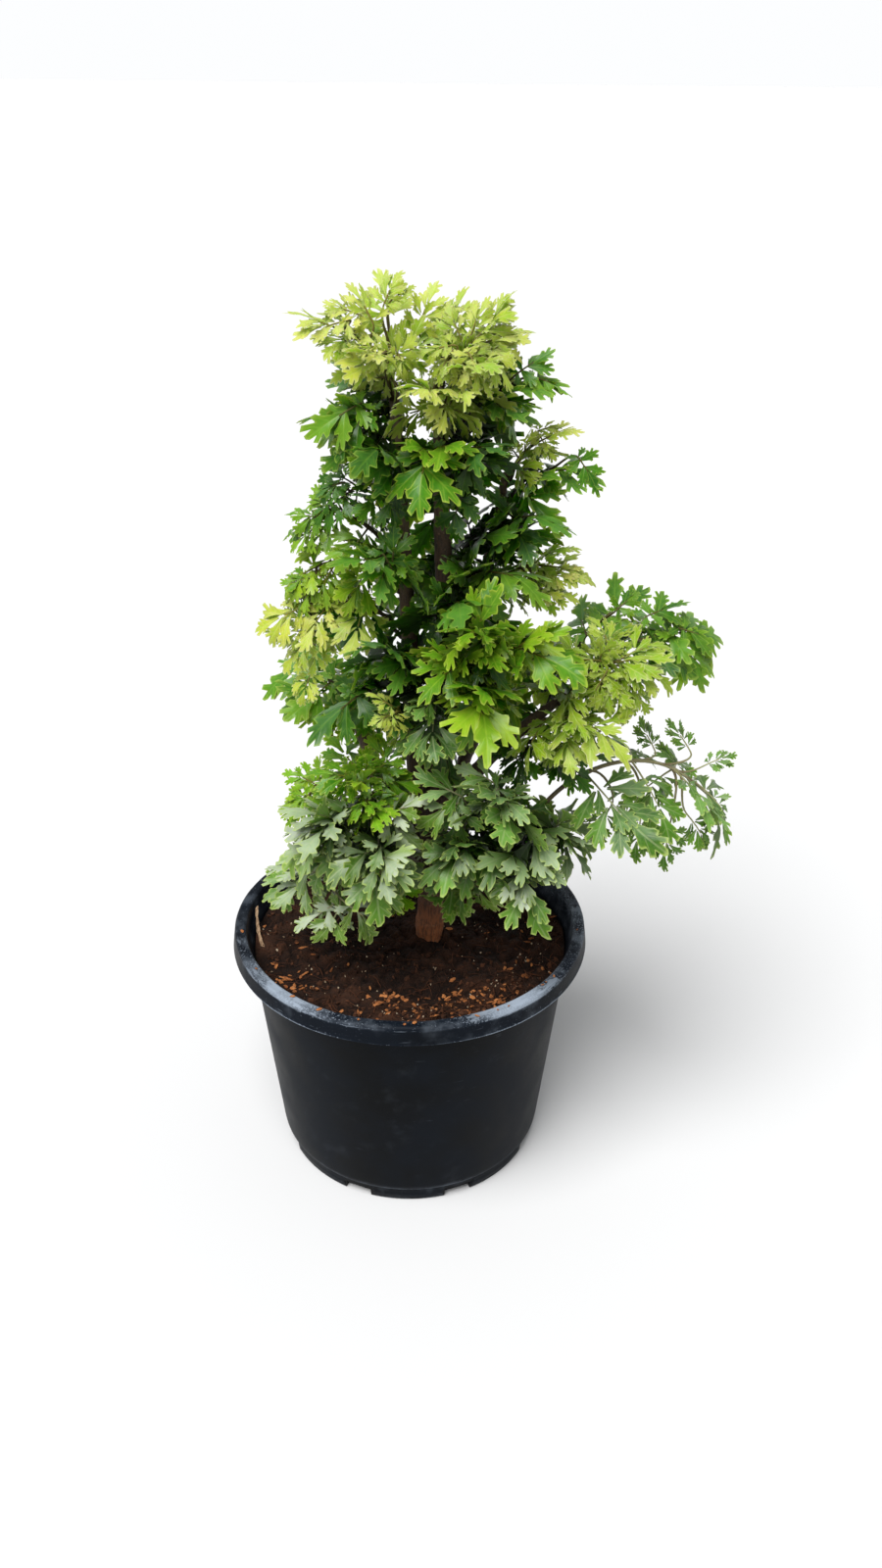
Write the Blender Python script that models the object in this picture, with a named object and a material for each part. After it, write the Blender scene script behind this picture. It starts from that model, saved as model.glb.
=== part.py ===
"""A ming aralia in a black plastic nursery pot: pot, soil, woody stems and one solid for each frond.

Metres, +Z up. The origin is the middle of the pot's flat base, and the front of the plant faces -Y.
Angles are in degrees: azimuth 0 points along +X (right), 90 to the back, 180 left and 270 to the front.
"""

import itertools
import math
from dataclasses import dataclass

import bmesh
import bpy
import numpy as np
from mathutils import Matrix
from mathutils.bvhtree import BVHTree

SEED = 11

# Pot: a thin moulded cup with a rolled lip and a stepped foot
POT_HEIGHT = 0.182
LIP_RADIUS = 0.125
LIP_DROP = 0.014
LIP_FLARE = 0.0014
LIP_TOP_OUTER = 0.0025
LIP_TOP_INNER = 0.0065
LIP_ROUND = 0.003
WALL_TOP_RADIUS = 0.1145
WALL_FOOT_RADIUS = 0.0975
FOOT_RADIUS = 0.0950
FOOT_HEIGHT = 0.012
FOOT_TAPER = 0.001
LEDGE_RISE = 0.0015
WALL_THICKNESS = 0.0022
FLOOR_THICKNESS = 0.003
INNER_CORNER = 0.010
SIDES = 36
DRAIN_COUNT = 8
DRAIN_START = 21.0
DRAIN_WIDTH = 0.020
DRAIN_HEIGHT = 0.007
DRAIN_REACH = 0.012

# Soil: fills the pot to a little under the lip
SOIL_LEVEL = 0.166
SOIL_ROUGHNESS = 0.0016
SOIL_EDGE_DROP = 0.003
SOIL_FOOT_INSET = 0.008
SOIL_CORNER_INSET = 0.003
SOIL_RINGS = (0.985, 0.69, 0.374)
FIT_GAP = 0.0004
SEAT_GAP = 0.0003
SEAT_STEP = 0.0001

# Woody stems
TRUNK_FOOT = (0.014, 0.0, 0.120)
TRUNK_HOLE_RADIUS = 0.0113
TRUNK_HOLE_SIDES = 16

# Fronds: a stalk and rib with leafy side branches, all one thin arched sheet
RIB_WIDTH = 0.0028
RIB_TIP_WIDTH = 0.0020
STALK_HALF_THICKNESS = 0.0012
RIB_HALF_THICKNESS = 0.0008
VEIN_HALF_THICKNESS = 0.0006
EDGE_HALF_THICKNESS = 0.0004
STALK_SHARE = 0.36
FOOT_LIFT = 20.0
FOOT_SHARE = 0.20
ROOT_LENGTH = 0.0040
PINNA_ANGLES = {1: (64.0,), 2: (88.0, 50.0), 3: (80.0, 66.0, 52.0)}
CLEARANCE = 0.0005
PINNA_DROOP = 14.0
LIGHT_ROLL = 26.0
BENDS_TRIED = (0, -12, 12, -24, 24, -36, 36)
TURNS_TRIED = (0, -12, 12)
SIZES_TRIED = (1.0, 0.84, 0.7, 0.56)

COLOURS = {
    "pot": ((0.018, 0.020, 0.023), 0.45),
    "soil": ((0.035, 0.018, 0.011), 0.95),
    "bark": ((0.095, 0.050, 0.028), 0.80),
    "lime": ((0.47, 0.58, 0.12), 0.45),
    "bright": ((0.17, 0.42, 0.06), 0.40),
    "mid": ((0.08, 0.28, 0.05), 0.40),
    "deep": ((0.03, 0.15, 0.03), 0.40),
    "silver": ((0.26, 0.38, 0.24), 0.45),
}


@dataclass(frozen=True)
class Frond:
    """One compound leaf: where it leaves its stem, how its rib arches and how big its leaflets are."""

    name: str
    stem: str
    height: float
    azimuth: float
    lift: float
    fall: float
    length: float
    leaf: float
    tint: str
    pairs: int = 2
    turn: float = 0.0
    roll: float = 0.0


# Each stem runs through (x, y, z, radius); side branches start inside the stem that bears them.
STEMS = {
    "main": (
        (*TRUNK_FOOT, 0.0104), (0.014, 0.0, 0.166, 0.0104), (0.014, 0.0, 0.174, 0.0118),
        (0.0145, 0.0, 0.190, 0.0098), (0.017, 0.001, 0.240, 0.0088), (0.021, 0.002, 0.320, 0.0076),
        (0.023, 0.0, 0.400, 0.0064), (0.020, -0.002, 0.480, 0.0050), (0.017, 0.0, 0.556, 0.0030),
    ),
    "left": (
        (0.016, 0.001, 0.232, 0.0050), (0.004, -0.005, 0.300, 0.0056), (0.000, -0.008, 0.400, 0.0050),
        (-0.005, -0.006, 0.490, 0.0042), (-0.009, -0.004, 0.560, 0.0028),
    ),
    "right_high": (
        (0.021, 0.001, 0.330, 0.0044), (0.038, 0.013, 0.390, 0.0046), (0.052, 0.018, 0.450, 0.0040),
        (0.060, 0.020, 0.500, 0.0022),
    ),
    "right_low": (
        (0.018, 0.001, 0.262, 0.0050), (0.042, -0.014, 0.306, 0.0050), (0.068, -0.024, 0.340, 0.0044),
        (0.095, -0.030, 0.368, 0.0026),
    ),
    "front_left": (
        (0.015, 0.0, 0.212, 0.0046), (-0.003, -0.030, 0.250, 0.0046), (-0.016, -0.050, 0.280, 0.0040),
        (-0.021, -0.060, 0.302, 0.0022),
    ),
    "front_right": (
        (0.015, 0.0, 0.222, 0.0046), (0.038, -0.028, 0.252, 0.0046), (0.058, -0.048, 0.274, 0.0040),
        (0.066, -0.056, 0.292, 0.0022),
    ),
    "front_mid": (
        (0.022, 0.001, 0.340, 0.0040), (0.035, -0.022, 0.376, 0.0042), (0.045, -0.038, 0.396, 0.0036),
        (0.049, -0.046, 0.410, 0.0022),
    ),
    "back_left": (
        (0.015, 0.0, 0.230, 0.0046), (-0.014, 0.026, 0.272, 0.0046), (-0.034, 0.044, 0.308, 0.0040),
        (-0.040, 0.050, 0.336, 0.0022),
    ),
    "back_right": (
        (0.016, 0.001, 0.240, 0.0046), (0.034, 0.028, 0.282, 0.0046), (0.050, 0.046, 0.318, 0.0040),
        (0.056, 0.052, 0.346, 0.0022),
    ),
}

FRONDS = (
    # The pale young crown at the top
    Frond("crown_left", "left", 0.556, 184, 88, 8, 0.050, 0.033, "lime", roll=30),
    Frond("crown_up_left", "left", 0.553, 100, 86, 62, 0.044, 0.038, "lime", 1),
    Frond("crown_front_left", "left", 0.549, 246, 86, 34, 0.034, 0.030, "lime"),
    Frond("crown_up", "main", 0.552, 60, 87, 66, 0.038, 0.036, "lime", 1),
    Frond("crown_mid", "main", 0.546, 348, 85, 50, 0.044, 0.042, "lime"),
    Frond("crown_front_right", "main", 0.541, 302, 80, 24, 0.038, 0.037, "lime"),
    Frond("crown_right", "main", 0.536, 26, 82, 30, 0.044, 0.042, "lime"),
    Frond("crown_front", "main", 0.535, 260, 82, 20, 0.035, 0.036, "lime"),
    Frond("top_right", "main", 0.523, 358, 74, 16, 0.050, 0.041, "mid"),
    # Upper foliage
    Frond("upper_back_left", "left", 0.526, 128, 74, 14, 0.036, 0.039, "deep", 1),
    Frond("upper_left", "left", 0.518, 186, 84, 12, 0.028, 0.039, "mid"),
    Frond("upper_front_left", "left", 0.501, 250, 85, 18, 0.034, 0.039, "deep"),
    Frond("curl_right", "right_high", 0.495, 334, 86, 28, 0.032, 0.030, "lime"),
    Frond("far_right", "right_high", 0.482, 346, 76, 2, 0.038, 0.039, "mid"),
    Frond("right_mid", "right_high", 0.450, 304, 84, 14, 0.046, 0.040, "deep"),
    Frond("centre_leaf", "main", 0.515, 256, 68, -38, 0.036, 0.041, "bright"),
    Frond("upper_front_right", "main", 0.504, 308, 84, 14, 0.032, 0.039, "deep"),
    Frond("upper_back_right", "main", 0.505, 40, 66, 4, 0.052, 0.043, "deep", 1),
    Frond("upper_back", "main", 0.478, 98, 60, -10, 0.050, 0.046, "mid", 1),
    # Left flank, with long arching stalks
    Frond("left_curl", "left", 0.490, 186, 76, -70, 0.038, 0.032, "deep"),
    Frond("left_broad", "left", 0.440, 232, 80, 8, 0.034, 0.041, "mid"),
    Frond("left_reach", "left", 0.456, 176, 66, -6, 0.064, 0.036, "mid"),
    Frond("left_arch", "left", 0.432, 180, 66, -40, 0.068, 0.037, "bright"),
    Frond("left_lime", "left", 0.408, 184, 60, -36, 0.074, 0.040, "lime"),
    Frond("left_front", "left", 0.370, 248, 86, 24, 0.046, 0.042, "deep"),
    Frond("left_low", "left", 0.364, 212, 56, -38, 0.042, 0.043, "deep"),
    Frond("yellow_small", "left", 0.334, 252, 76, 8, 0.036, 0.026, "lime", 1),
    # Middle and right
    Frond("middle_right", "main", 0.432, 326, 70, -8, 0.038, 0.044, "mid"),
    Frond("middle_back_right", "main", 0.446, 16, 68, -4, 0.048, 0.044, "deep", 1),
    Frond("middle_front", "main", 0.404, 278, 84, 14, 0.050, 0.043, "deep"),
    Frond("teal", "main", 0.366, 262, 50, -48, 0.048, 0.044, "silver"),
    Frond("right_fine", "right_high", 0.424, 348, 70, -12, 0.048, 0.038, "lime"),
    Frond("bright_left", "front_mid", 0.392, 236, 66, -8, 0.026, 0.037, "bright"),
    Frond("bright_down", "front_mid", 0.382, 278, 56, -38, 0.040, 0.047, "bright"),
    Frond("bright_right", "front_mid", 0.400, 322, 68, -6, 0.032, 0.043, "bright"),
    Frond("bright_up", "front_mid", 0.406, 250, 84, 18, 0.032, 0.038, "bright"),
    # The long right-hand branch
    Frond("lime_front", "right_low", 0.346, 314, 66, -10, 0.054, 0.045, "lime"),
    Frond("lime_right", "right_low", 0.367, 332, 80, 20, 0.050, 0.042, "lime"),
    Frond("right_end", "right_low", 0.3665, 18, 62, -12, 0.100, 0.046, "mid"),
    Frond("right_top", "right_low", 0.352, 42, 72, 6, 0.102, 0.043, "mid"),
    Frond("right_under", "right_low", 0.336, 326, 52, -48, 0.032, 0.036, "deep"),
    Frond("long_arch", "front_right", 0.282, 14, 74, -66, 0.170, 0.060, "silver", 3),
    # Lower front, right of the trunk
    Frond("low_right", "front_right", 0.289, 350, 36, -50, 0.033, 0.041, "silver"),
    Frond("low_right_front", "front_right", 0.279, 294, 12, -66, 0.030, 0.042, "silver"),
    Frond("low_centre", "front_right", 0.273, 222, 58, -22, 0.032, 0.038, "silver"),
    Frond("low_right_up", "front_right", 0.290, 244, 86, 38, 0.040, 0.038, "silver"),
    # Lower front, left of the trunk
    Frond("low_left", "front_left", 0.294, 186, 40, -50, 0.034, 0.045, "silver"),
    Frond("low_left_front", "front_left", 0.287, 264, 30, -58, 0.029, 0.041, "silver"),
    Frond("low_left_up", "front_left", 0.299, 120, 84, 6, 0.034, 0.041, "bright"),
    # Low fronds that hang out over the rim
    Frond("soil_left", "main", 0.222, 196, 52, -32, 0.088, 0.045, "silver"),
    Frond("side_left", "main", 0.276, 172, 54, -48, 0.088, 0.046, "bright"),
    # The back of the plant
    Frond("middle_back", "main", 0.412, 92, 60, -20, 0.056, 0.046, "deep", 1),
    Frond("middle_back_left", "left", 0.400, 150, 62, -16, 0.054, 0.044, "mid", 1),
    Frond("back_left_out", "back_left", 0.330, 152, 64, -26, 0.048, 0.046, "mid"),
    Frond("back_left_rear", "back_left", 0.314, 92, 50, -40, 0.046, 0.046, "bright"),
    Frond("back_right_rear", "back_right", 0.330, 78, 56, -36, 0.050, 0.046, "mid", 1),
    Frond("back_right_out", "back_right", 0.342, 24, 62, -24, 0.048, 0.045, "bright"),
)


def unit(vector):
    """The vector at length 1."""
    return vector / np.linalg.norm(vector)


def spline(points, count):
    """A smooth curve through the points (Catmull-Rom), read at evenly spaced parameters."""
    ends = np.array(points, float)
    ends = np.vstack([2 * ends[0] - ends[1], ends, 2 * ends[-1] - ends[-2]])
    along = np.linspace(0, len(points) - 1, count)
    first = np.minimum(along.astype(int), len(points) - 2)
    f = (along - first)[:, None]
    a, b, c, d = ends[first], ends[first + 1], ends[first + 2], ends[first + 3]
    return 0.5 * (2 * b + (c - a) * f + (2 * a - 5 * b + 4 * c - d) * f**2 + (3 * b - a - 3 * c + d) * f**3)


def stem_at(name, height):
    """Centre, axis direction and radius of a stem where it passes a height."""
    curve = spline(STEMS[name], 160)
    row = int(np.argmin(np.abs(curve[:, 2] - height)))
    row = min(max(row, 1), len(curve) - 2)
    return curve[row, :3], unit(curve[row + 1, :3] - curve[row - 1, :3]), curve[row, 3]


def new_object(name, vertices, faces, tint):
    """Links a mesh object with its own plain material."""
    mesh = bpy.data.meshes.new(name)
    mesh.from_pydata([tuple(v) for v in vertices], [], faces)
    mesh.update()
    obj = bpy.data.objects.new(name, mesh)
    bpy.context.scene.collection.objects.link(obj)
    obj.data.materials.append(new_material(name, tint))
    return obj


def new_material(name, tint):
    """A Principled BSDF in one of the plant's colours."""
    colour, roughness = COLOURS[tint]
    material = bpy.data.materials.new(name)
    material.use_nodes = True
    shader = material.node_tree.nodes["Principled BSDF"]
    shader.inputs["Base Color"].default_value = (*colour, 1.0)
    shader.inputs["Roughness"].default_value = roughness
    shader.inputs["Metallic"].default_value = 0.0
    material.diffuse_color = (*colour, 1.0)
    return material


def turned(name, profile, tint):
    """Spins a profile of (radius, height) points, from the axis and back to it, into a closed solid."""
    bm = bmesh.new()
    points = [bm.verts.new((r, 0.0, z)) for r, z in profile]
    edges = [bm.edges.new(pair) for pair in zip(points, points[1:])]
    bmesh.ops.spin(
        bm, geom=points + edges, cent=(0, 0, 0), axis=(0, 0, 1), angle=2 * math.pi, steps=SIDES, use_merge=True
    )
    bmesh.ops.remove_doubles(bm, verts=bm.verts, dist=1e-6)
    bmesh.ops.recalc_face_normals(bm, faces=bm.faces)
    obj = new_object(name, [], [], tint)
    bm.to_mesh(obj.data)
    bm.free()
    obj.data.shade_smooth()
    obj.data.set_sharp_from_angle(angle=math.radians(30))
    return obj


def cut(obj, cutter):
    """Cuts one solid out of another for good, and removes the cutter."""
    boolean = obj.modifiers.new("cut", "BOOLEAN")
    boolean.operation = "DIFFERENCE"
    boolean.object = cutter
    apply_modifiers(obj)
    bpy.data.objects.remove(cutter)


def apply_modifiers(obj):
    """Replaces an object's mesh by what its modifiers make of it."""
    graph = bpy.context.evaluated_depsgraph_get()
    mesh = bpy.data.meshes.new_from_object(obj.evaluated_get(graph))
    obj.modifiers.clear()
    obj.data = mesh


def box_ring(name, count, start, radius, size, height):
    """Boxes set round the axis, as one cutter: size is (radial, along the rim, vertical)."""
    bm = bmesh.new()
    for index in range(count):
        made = bmesh.ops.create_cube(bm, size=1.0)["verts"]
        bmesh.ops.scale(bm, vec=size, verts=made)
        bmesh.ops.translate(bm, vec=(radius, 0, height), verts=made)
        turn = Matrix.Rotation(math.radians(start + 360 / count * index), 3, "Z")
        bmesh.ops.rotate(bm, matrix=turn, verts=made)
    cutter = new_object(name, [], [], "pot")
    bm.to_mesh(cutter.data)
    bm.free()
    return cutter


def build_pot():
    """The moulded pot: one turned wall with a rolled lip, a stepped foot and drain slots in its bottom edge."""
    lip_foot = POT_HEIGHT - LIP_DROP
    inner_top = WALL_TOP_RADIUS - WALL_THICKNESS
    inner_foot = WALL_FOOT_RADIUS - WALL_THICKNESS
    profile = (
        (0, 0),
        (FOOT_RADIUS - FOOT_TAPER, 0),
        (FOOT_RADIUS, FOOT_HEIGHT),
        (WALL_FOOT_RADIUS, FOOT_HEIGHT + LEDGE_RISE),
        (WALL_TOP_RADIUS, lip_foot - 0.0005),
        (LIP_RADIUS + LIP_FLARE, lip_foot),
        (LIP_RADIUS, POT_HEIGHT - LIP_ROUND),
        (LIP_RADIUS - LIP_TOP_OUTER, POT_HEIGHT),
        (LIP_RADIUS - LIP_TOP_INNER, POT_HEIGHT),
        (inner_top, lip_foot - LIP_ROUND),
        (inner_foot, FLOOR_THICKNESS + INNER_CORNER),
        (FOOT_RADIUS - WALL_THICKNESS - 0.002, FLOOR_THICKNESS),
        (0, FLOOR_THICKNESS),
    )
    pot = turned("pot", profile, "pot")
    slot_size = (DRAIN_REACH, DRAIN_WIDTH, 2 * DRAIN_HEIGHT)
    slots = box_ring("drain_slots", DRAIN_COUNT, DRAIN_START, FOOT_RADIUS, slot_size, 0.0)
    cut(pot, slots)
    return pot


def soil_height(x, y):
    """Height of the soil over a point: low swells and hollows round the fill level."""
    waves = np.sin(61 * x + 1.1) * np.cos(53 * y - 0.4) + 0.6 * np.sin(119 * y + 37 * x)
    return SOIL_LEVEL + SOIL_ROUGHNESS * waves


def build_soil():
    """The root ball: fills the pot's inside with a small gap, uneven on top, with a plain hole for the trunk."""
    inner_foot = WALL_FOOT_RADIUS - WALL_THICKNESS
    inner_top = WALL_TOP_RADIUS - WALL_THICKNESS
    corner = FLOOR_THICKNESS + INNER_CORNER
    edge = SOIL_LEVEL - SOIL_EDGE_DROP
    slope = (inner_top - inner_foot) / (POT_HEIGHT - LIP_DROP - LIP_ROUND - corner)
    top_radius = inner_foot + slope * (edge - corner) - FIT_GAP
    profile = [
        (0, FLOOR_THICKNESS + FIT_GAP),
        (FOOT_RADIUS - SOIL_FOOT_INSET, FLOOR_THICKNESS + FIT_GAP),
        (inner_foot - SOIL_CORNER_INSET, corner + 0.002),
        (top_radius, edge),
    ]
    profile += [(top_radius * share, SOIL_LEVEL) for share in SOIL_RINGS] + [(0, SOIL_LEVEL)]
    soil = turned("soil", profile, "soil")
    for vertex in soil.data.vertices:
        if vertex.co.z > SOIL_LEVEL - 0.001:
            vertex.co.z = soil_height(vertex.co.x, vertex.co.y)
    bpy.ops.mesh.primitive_cylinder_add(
        vertices=TRUNK_HOLE_SIDES,
        radius=TRUNK_HOLE_RADIUS,
        depth=0.1,
        location=(TRUNK_FOOT[0], TRUNK_FOOT[1], TRUNK_FOOT[2] - FIT_GAP + 0.05),
    )
    cut(soil, bpy.context.object)
    return soil


def tube(name, curve, sides):
    """A round tapering tube along (x, y, z, radius) rows, with flat ends."""
    rows = np.array(curve)
    axis = np.gradient(rows[:, :3], axis=0)
    side = np.array([1.0, 0.0, 0.0])
    vertices = []
    for row, along in zip(rows, axis):
        along = unit(along)
        side = unit(side - along * (side @ along))
        other = np.cross(along, side)
        for k in range(sides):
            turn = 2 * math.pi * k / sides
            vertices.append(row[:3] + row[3] * (math.cos(turn) * side + math.sin(turn) * other))
    faces = [tuple(range(sides))[::-1], tuple(range(len(vertices) - sides, len(vertices)))]
    for low in range(0, len(vertices) - sides, sides):
        faces += [(low + k, low + (k + 1) % sides, low + sides + (k + 1) % sides, low + sides + k) for k in range(sides)]
    return new_object(name, vertices, faces, "bark")


def build_stems():
    """The trunk and its branches, joined into one woody solid."""
    trunk = tube("stems", spline(STEMS["main"], 15), 8)
    branches = bpy.data.collections.new("branches")
    bpy.context.scene.collection.children.link(branches)
    for name, points in STEMS.items():
        if name != "main":
            branch = tube("branch_" + name, spline(points, 6), 5)
            bpy.context.scene.collection.objects.unlink(branch)
            branches.objects.link(branch)
    union = trunk.modifiers.new("join", "BOOLEAN")
    union.operation = "UNION"
    union.operand_type = "COLLECTION"
    union.collection = branches
    apply_modifiers(trunk)
    for branch in list(branches.objects):
        bpy.data.objects.remove(branch)
    bpy.data.collections.remove(branches)
    trunk.data.shade_smooth()
    trunk.data.set_sharp_from_angle(angle=math.radians(60))
    return trunk


class Sheet:
    """A thin surface of triangles with a normal and a half thickness at each point, closed into a solid at the end."""

    def __init__(self):
        self.points, self.normals, self.halves, self.faces = [], [], [], []

    def add(self, point, normal, half):
        """Adds a point and returns its number."""
        self.points.append(np.array(point))
        self.normals.append(unit(np.array(normal)))
        self.halves.append(half)
        return len(self.points) - 1

    def solid(self, extra=0.0):
        """Vertices and triangles of the closed solid; extra thickens it on both faces."""
        points, normals = np.array(self.points), np.array(self.normals)
        lift = normals * (np.array(self.halves)[:, None] + extra)
        count = len(points)
        faces = [tuple(f) for f in self.faces] + [tuple(i + count for i in reversed(f)) for f in self.faces]
        edges = {(f[k], f[(k + 1) % 3]) for f in self.faces for k in range(3)}
        for a, b in sorted(edges):
            if (b, a) not in edges:
                faces += [(b, a, a + count), (b, a + count, b + count)]
        return np.vstack([points + lift, points - lift]), faces

    def tree(self, extra=CLEARANCE):
        """A search tree of the thickened solid, for crossing tests."""
        vertices, faces = self.solid(extra)
        return BVHTree.FromPolygons([tuple(v) for v in vertices], faces)


@dataclass
class Rib:
    """A frond's stalk and rib: rows of position, direction, side and normal, and where its side branches sit."""

    frond: Frond
    points: np.ndarray
    along: np.ndarray
    side: np.ndarray
    normal: np.ndarray
    width: np.ndarray
    half: np.ndarray
    roots: tuple


def frame_of(azimuth, lift, roll):
    """Direction, left side and upper normal for an azimuth, a lift and a roll in degrees."""
    a, e, r = (np.radians(v) for v in (azimuth, lift, roll))
    along = np.stack([np.cos(a) * np.cos(e), np.sin(a) * np.cos(e), np.sin(e)], -1)
    side = np.stack([-np.sin(a), np.cos(a), 0 * a], -1)
    normal = np.cross(along, side)
    c, s = np.cos(r)[..., None], np.sin(r)[..., None]
    return along, side * c + normal * s, normal * c - side * s


def elevation(frond, at):
    """A rib's elevation at a share of its length: it sets off low, lifts at once and then falls evenly."""
    even = frond.lift + (frond.fall - frond.lift) * at
    start = np.clip(1 - at / FOOT_SHARE, 0, 1) ** 2
    return even + (min(FOOT_LIFT, frond.lift) - frond.lift) * start


def rib_of(frond, wood):
    """Works out the rib from its foot, just clear of the bark. wood is the search tree of the stems.

    Rows come at the foot, up the bare stalk, and in pairs where side branches join.
    """
    centre, axis, radius = stem_at(frond.stem, frond.height)
    azimuth = frond.azimuth
    level = frame_of(np.array(azimuth), np.array(0.0), np.array(0.0))[0]
    outward = unit(level - axis * (level @ axis))
    bark = wood.ray_cast(centre + outward * (radius + 0.003), -outward)[0]
    foot = np.array(bark) + outward * SEAT_GAP
    shares = [0.0, 0.08, 0.20]
    roots = []
    span = 1.0 - STALK_SHARE
    root = ROOT_LENGTH / frond.length
    for pair in range(frond.pairs):
        near = STALK_SHARE + span * pair / (frond.pairs + 0.35)
        roots.append(len(shares))
        shares += [near, near + root]
    shares.append(max(STALK_SHARE + span * 0.86 * frond.pairs / (frond.pairs + 0.35), shares[-1] + root))
    fine = np.linspace(0, 1, 61)
    path = frame_of(azimuth + frond.turn * fine, elevation(frond, fine), 0 * fine)[0]
    steps = (path[1:] + path[:-1]) * 0.5 * frond.length / 60
    run = np.vstack([np.zeros(3), np.cumsum(steps, axis=0)])
    at = np.array(shares)
    points = foot + np.stack([np.interp(at, fine, run[:, k]) for k in range(3)], -1)
    roll = frond.roll + LIGHT_ROLL * math.cos(math.radians(azimuth))
    along, side, normal = frame_of(azimuth + frond.turn * at, elevation(frond, at), roll * at)
    normal[0], side[0] = axis, unit(np.cross(axis, outward))
    width = RIB_WIDTH + (RIB_TIP_WIDTH - RIB_WIDTH) * at
    half = STALK_HALF_THICKNESS + (RIB_HALF_THICKNESS - STALK_HALF_THICKNESS) * np.minimum(at / STALK_SHARE, 1)
    rib = Rib(frond, points, along, side, normal, width, half, tuple(roots))
    while rib_sheet(rib).tree(SEAT_STEP).overlap(wood):
        rib.points += outward * SEAT_STEP
    return rib


def rib_sheet(rib):
    """The rib as a ribbon: each row gives a left and a right point."""
    sheet = Sheet()
    for point, side, normal, width, half in zip(rib.points, rib.side, rib.normal, rib.width, rib.half):
        sheet.add(point + side * width / 2, normal, half)
        sheet.add(point - side * width / 2, normal, half)
    for row in range(len(rib.points) - 1):
        left, right, next_left, next_right = 2 * row, 2 * row + 1, 2 * row + 2, 2 * row + 3
        sheet.faces += [(right, next_right, next_left), (right, next_left, left)]
    return sheet


# A side branch with three leaflets cut nearly to its vein, in units of its length: x along, y across.
# Three broad wedges with blunt teeth: the lower pair spreads, the end one carries on.
LOBES = {
    "a": None, "b": None,
    "fork_r": (0.34, -0.045), "fork_l": (0.34, 0.045),
    "low_l": (0.40, 0.37), "low_notch_l": (0.50, 0.22), "low_tip_l": (0.72, 0.34),
    "low_r": (0.40, -0.37), "low_notch_r": (0.50, -0.22), "low_tip_r": (0.72, -0.34),
    "end_l": (0.93, 0.19), "end_notch_l": (0.80, 0.08), "end": (1.06, 0.0),
    "end_r": (0.93, -0.19), "end_notch_r": (0.80, -0.08),
}
LOBE_FACES = (
    ("a", "fork_r", "fork_l"), ("a", "fork_l", "b"),
    ("b", "fork_l", "low_notch_l"), ("fork_l", "low_tip_l", "low_notch_l"), ("b", "low_notch_l", "low_l"),
    ("a", "low_notch_r", "fork_r"), ("fork_r", "low_notch_r", "low_tip_r"), ("a", "low_r", "low_notch_r"),
    ("fork_r", "end_r", "end_notch_r"), ("fork_r", "end_notch_r", "fork_l"),
    ("fork_l", "end_notch_r", "end_notch_l"), ("end_notch_r", "end", "end_notch_l"),
    ("fork_l", "end_notch_l", "end_l"),
)


@dataclass
class Pinna:
    """A leafy side branch: the two rib points it grows from, its frame, its length and its random trim."""

    roots: tuple
    origin: np.ndarray
    along: np.ndarray
    across: np.ndarray
    normal: np.ndarray
    length: float
    trim: np.ndarray


def pinna_of(rib, row, side, length, angle, pitch, trim):
    """The frame of a side branch, which leaves the rib at an angle and is pitched up or down.

    Args: side is 1 for left, -1 for right and 0 for the one at the rib's end.
    """
    if side:
        along, across, normal = (rib.along[row], rib.side[row], rib.normal[row])
        turn = math.radians(angle)
        out = math.cos(turn) * along + side * math.sin(turn) * across
        near, far = 2 * row, 2 * row + 2
        roots = (far, near) if side > 0 else (near + 1, far + 1)
        edge = rib.side[row] * side * rib.width[row] / 2
        origin = (rib.points[row] + rib.points[row + 1]) / 2 + edge
    else:
        row = len(rib.points) - 1
        out, normal = rib.along[row], rib.normal[row]
        roots = (2 * row + 1, 2 * row)
        origin = rib.points[row]
    out = unit(out - normal * (out @ normal))
    across = np.cross(normal, out)
    lean = math.radians(pitch)
    along = out * math.cos(lean) + normal * math.sin(lean)
    return Pinna(roots, origin, along, across, normal * math.cos(lean) - out * math.sin(lean), length, trim)


def pinna_points(pinna):
    """Each lobe point in space with its normal: the blade bends down along its length and cups across it."""
    found = {}
    for index, (name, place) in enumerate(LOBES.items()):
        if place is None:
            continue
        x, y = place
        stretch = 1.0 + pinna.trim[index]
        x, y = x * stretch, y * stretch
        drop = 0.20 * x * x + 0.55 * y * y
        point = pinna.along * x + pinna.across * y - pinna.normal * drop
        slope = pinna.normal + pinna.along * (0.40 * x) + pinna.across * (1.1 * y)
        found[name] = (pinna.origin + point * pinna.length, slope)
    return found


def add_pinna(sheet, pinna, rib_points):
    """Adds a side branch's triangles to a sheet. rib_points numbers its two roots in that sheet."""
    number = {"a": rib_points[0], "b": rib_points[1]}
    for name, (point, slope) in pinna_points(pinna).items():
        half = VEIN_HALF_THICKNESS if name.startswith("fork") else EDGE_HALF_THICKNESS
        number[name] = sheet.add(point, slope, half)
    sheet.faces += [tuple(number[n] for n in face) for face in LOBE_FACES]


def pinna_tree(pinna, rib, extra=CLEARANCE):
    """A search tree of one side branch by itself."""
    sheet = Sheet()
    ribbon = rib_sheet(rib)
    roots = [sheet.add(ribbon.points[n], ribbon.normals[n], ribbon.halves[n]) for n in pinna.roots]
    add_pinna(sheet, pinna, roots)
    return sheet.tree(extra)


def slots_of(frond):
    """Where a frond's side branches go: (pair or None for the end, side, share of the leaf length)."""
    found = [(None, 0, 1.0)]
    for pair in range(frond.pairs):
        shrink = 1.0 - 0.12 * pair
        found += [(pair, 1, shrink), (pair, -1, shrink)]
    return found


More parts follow.
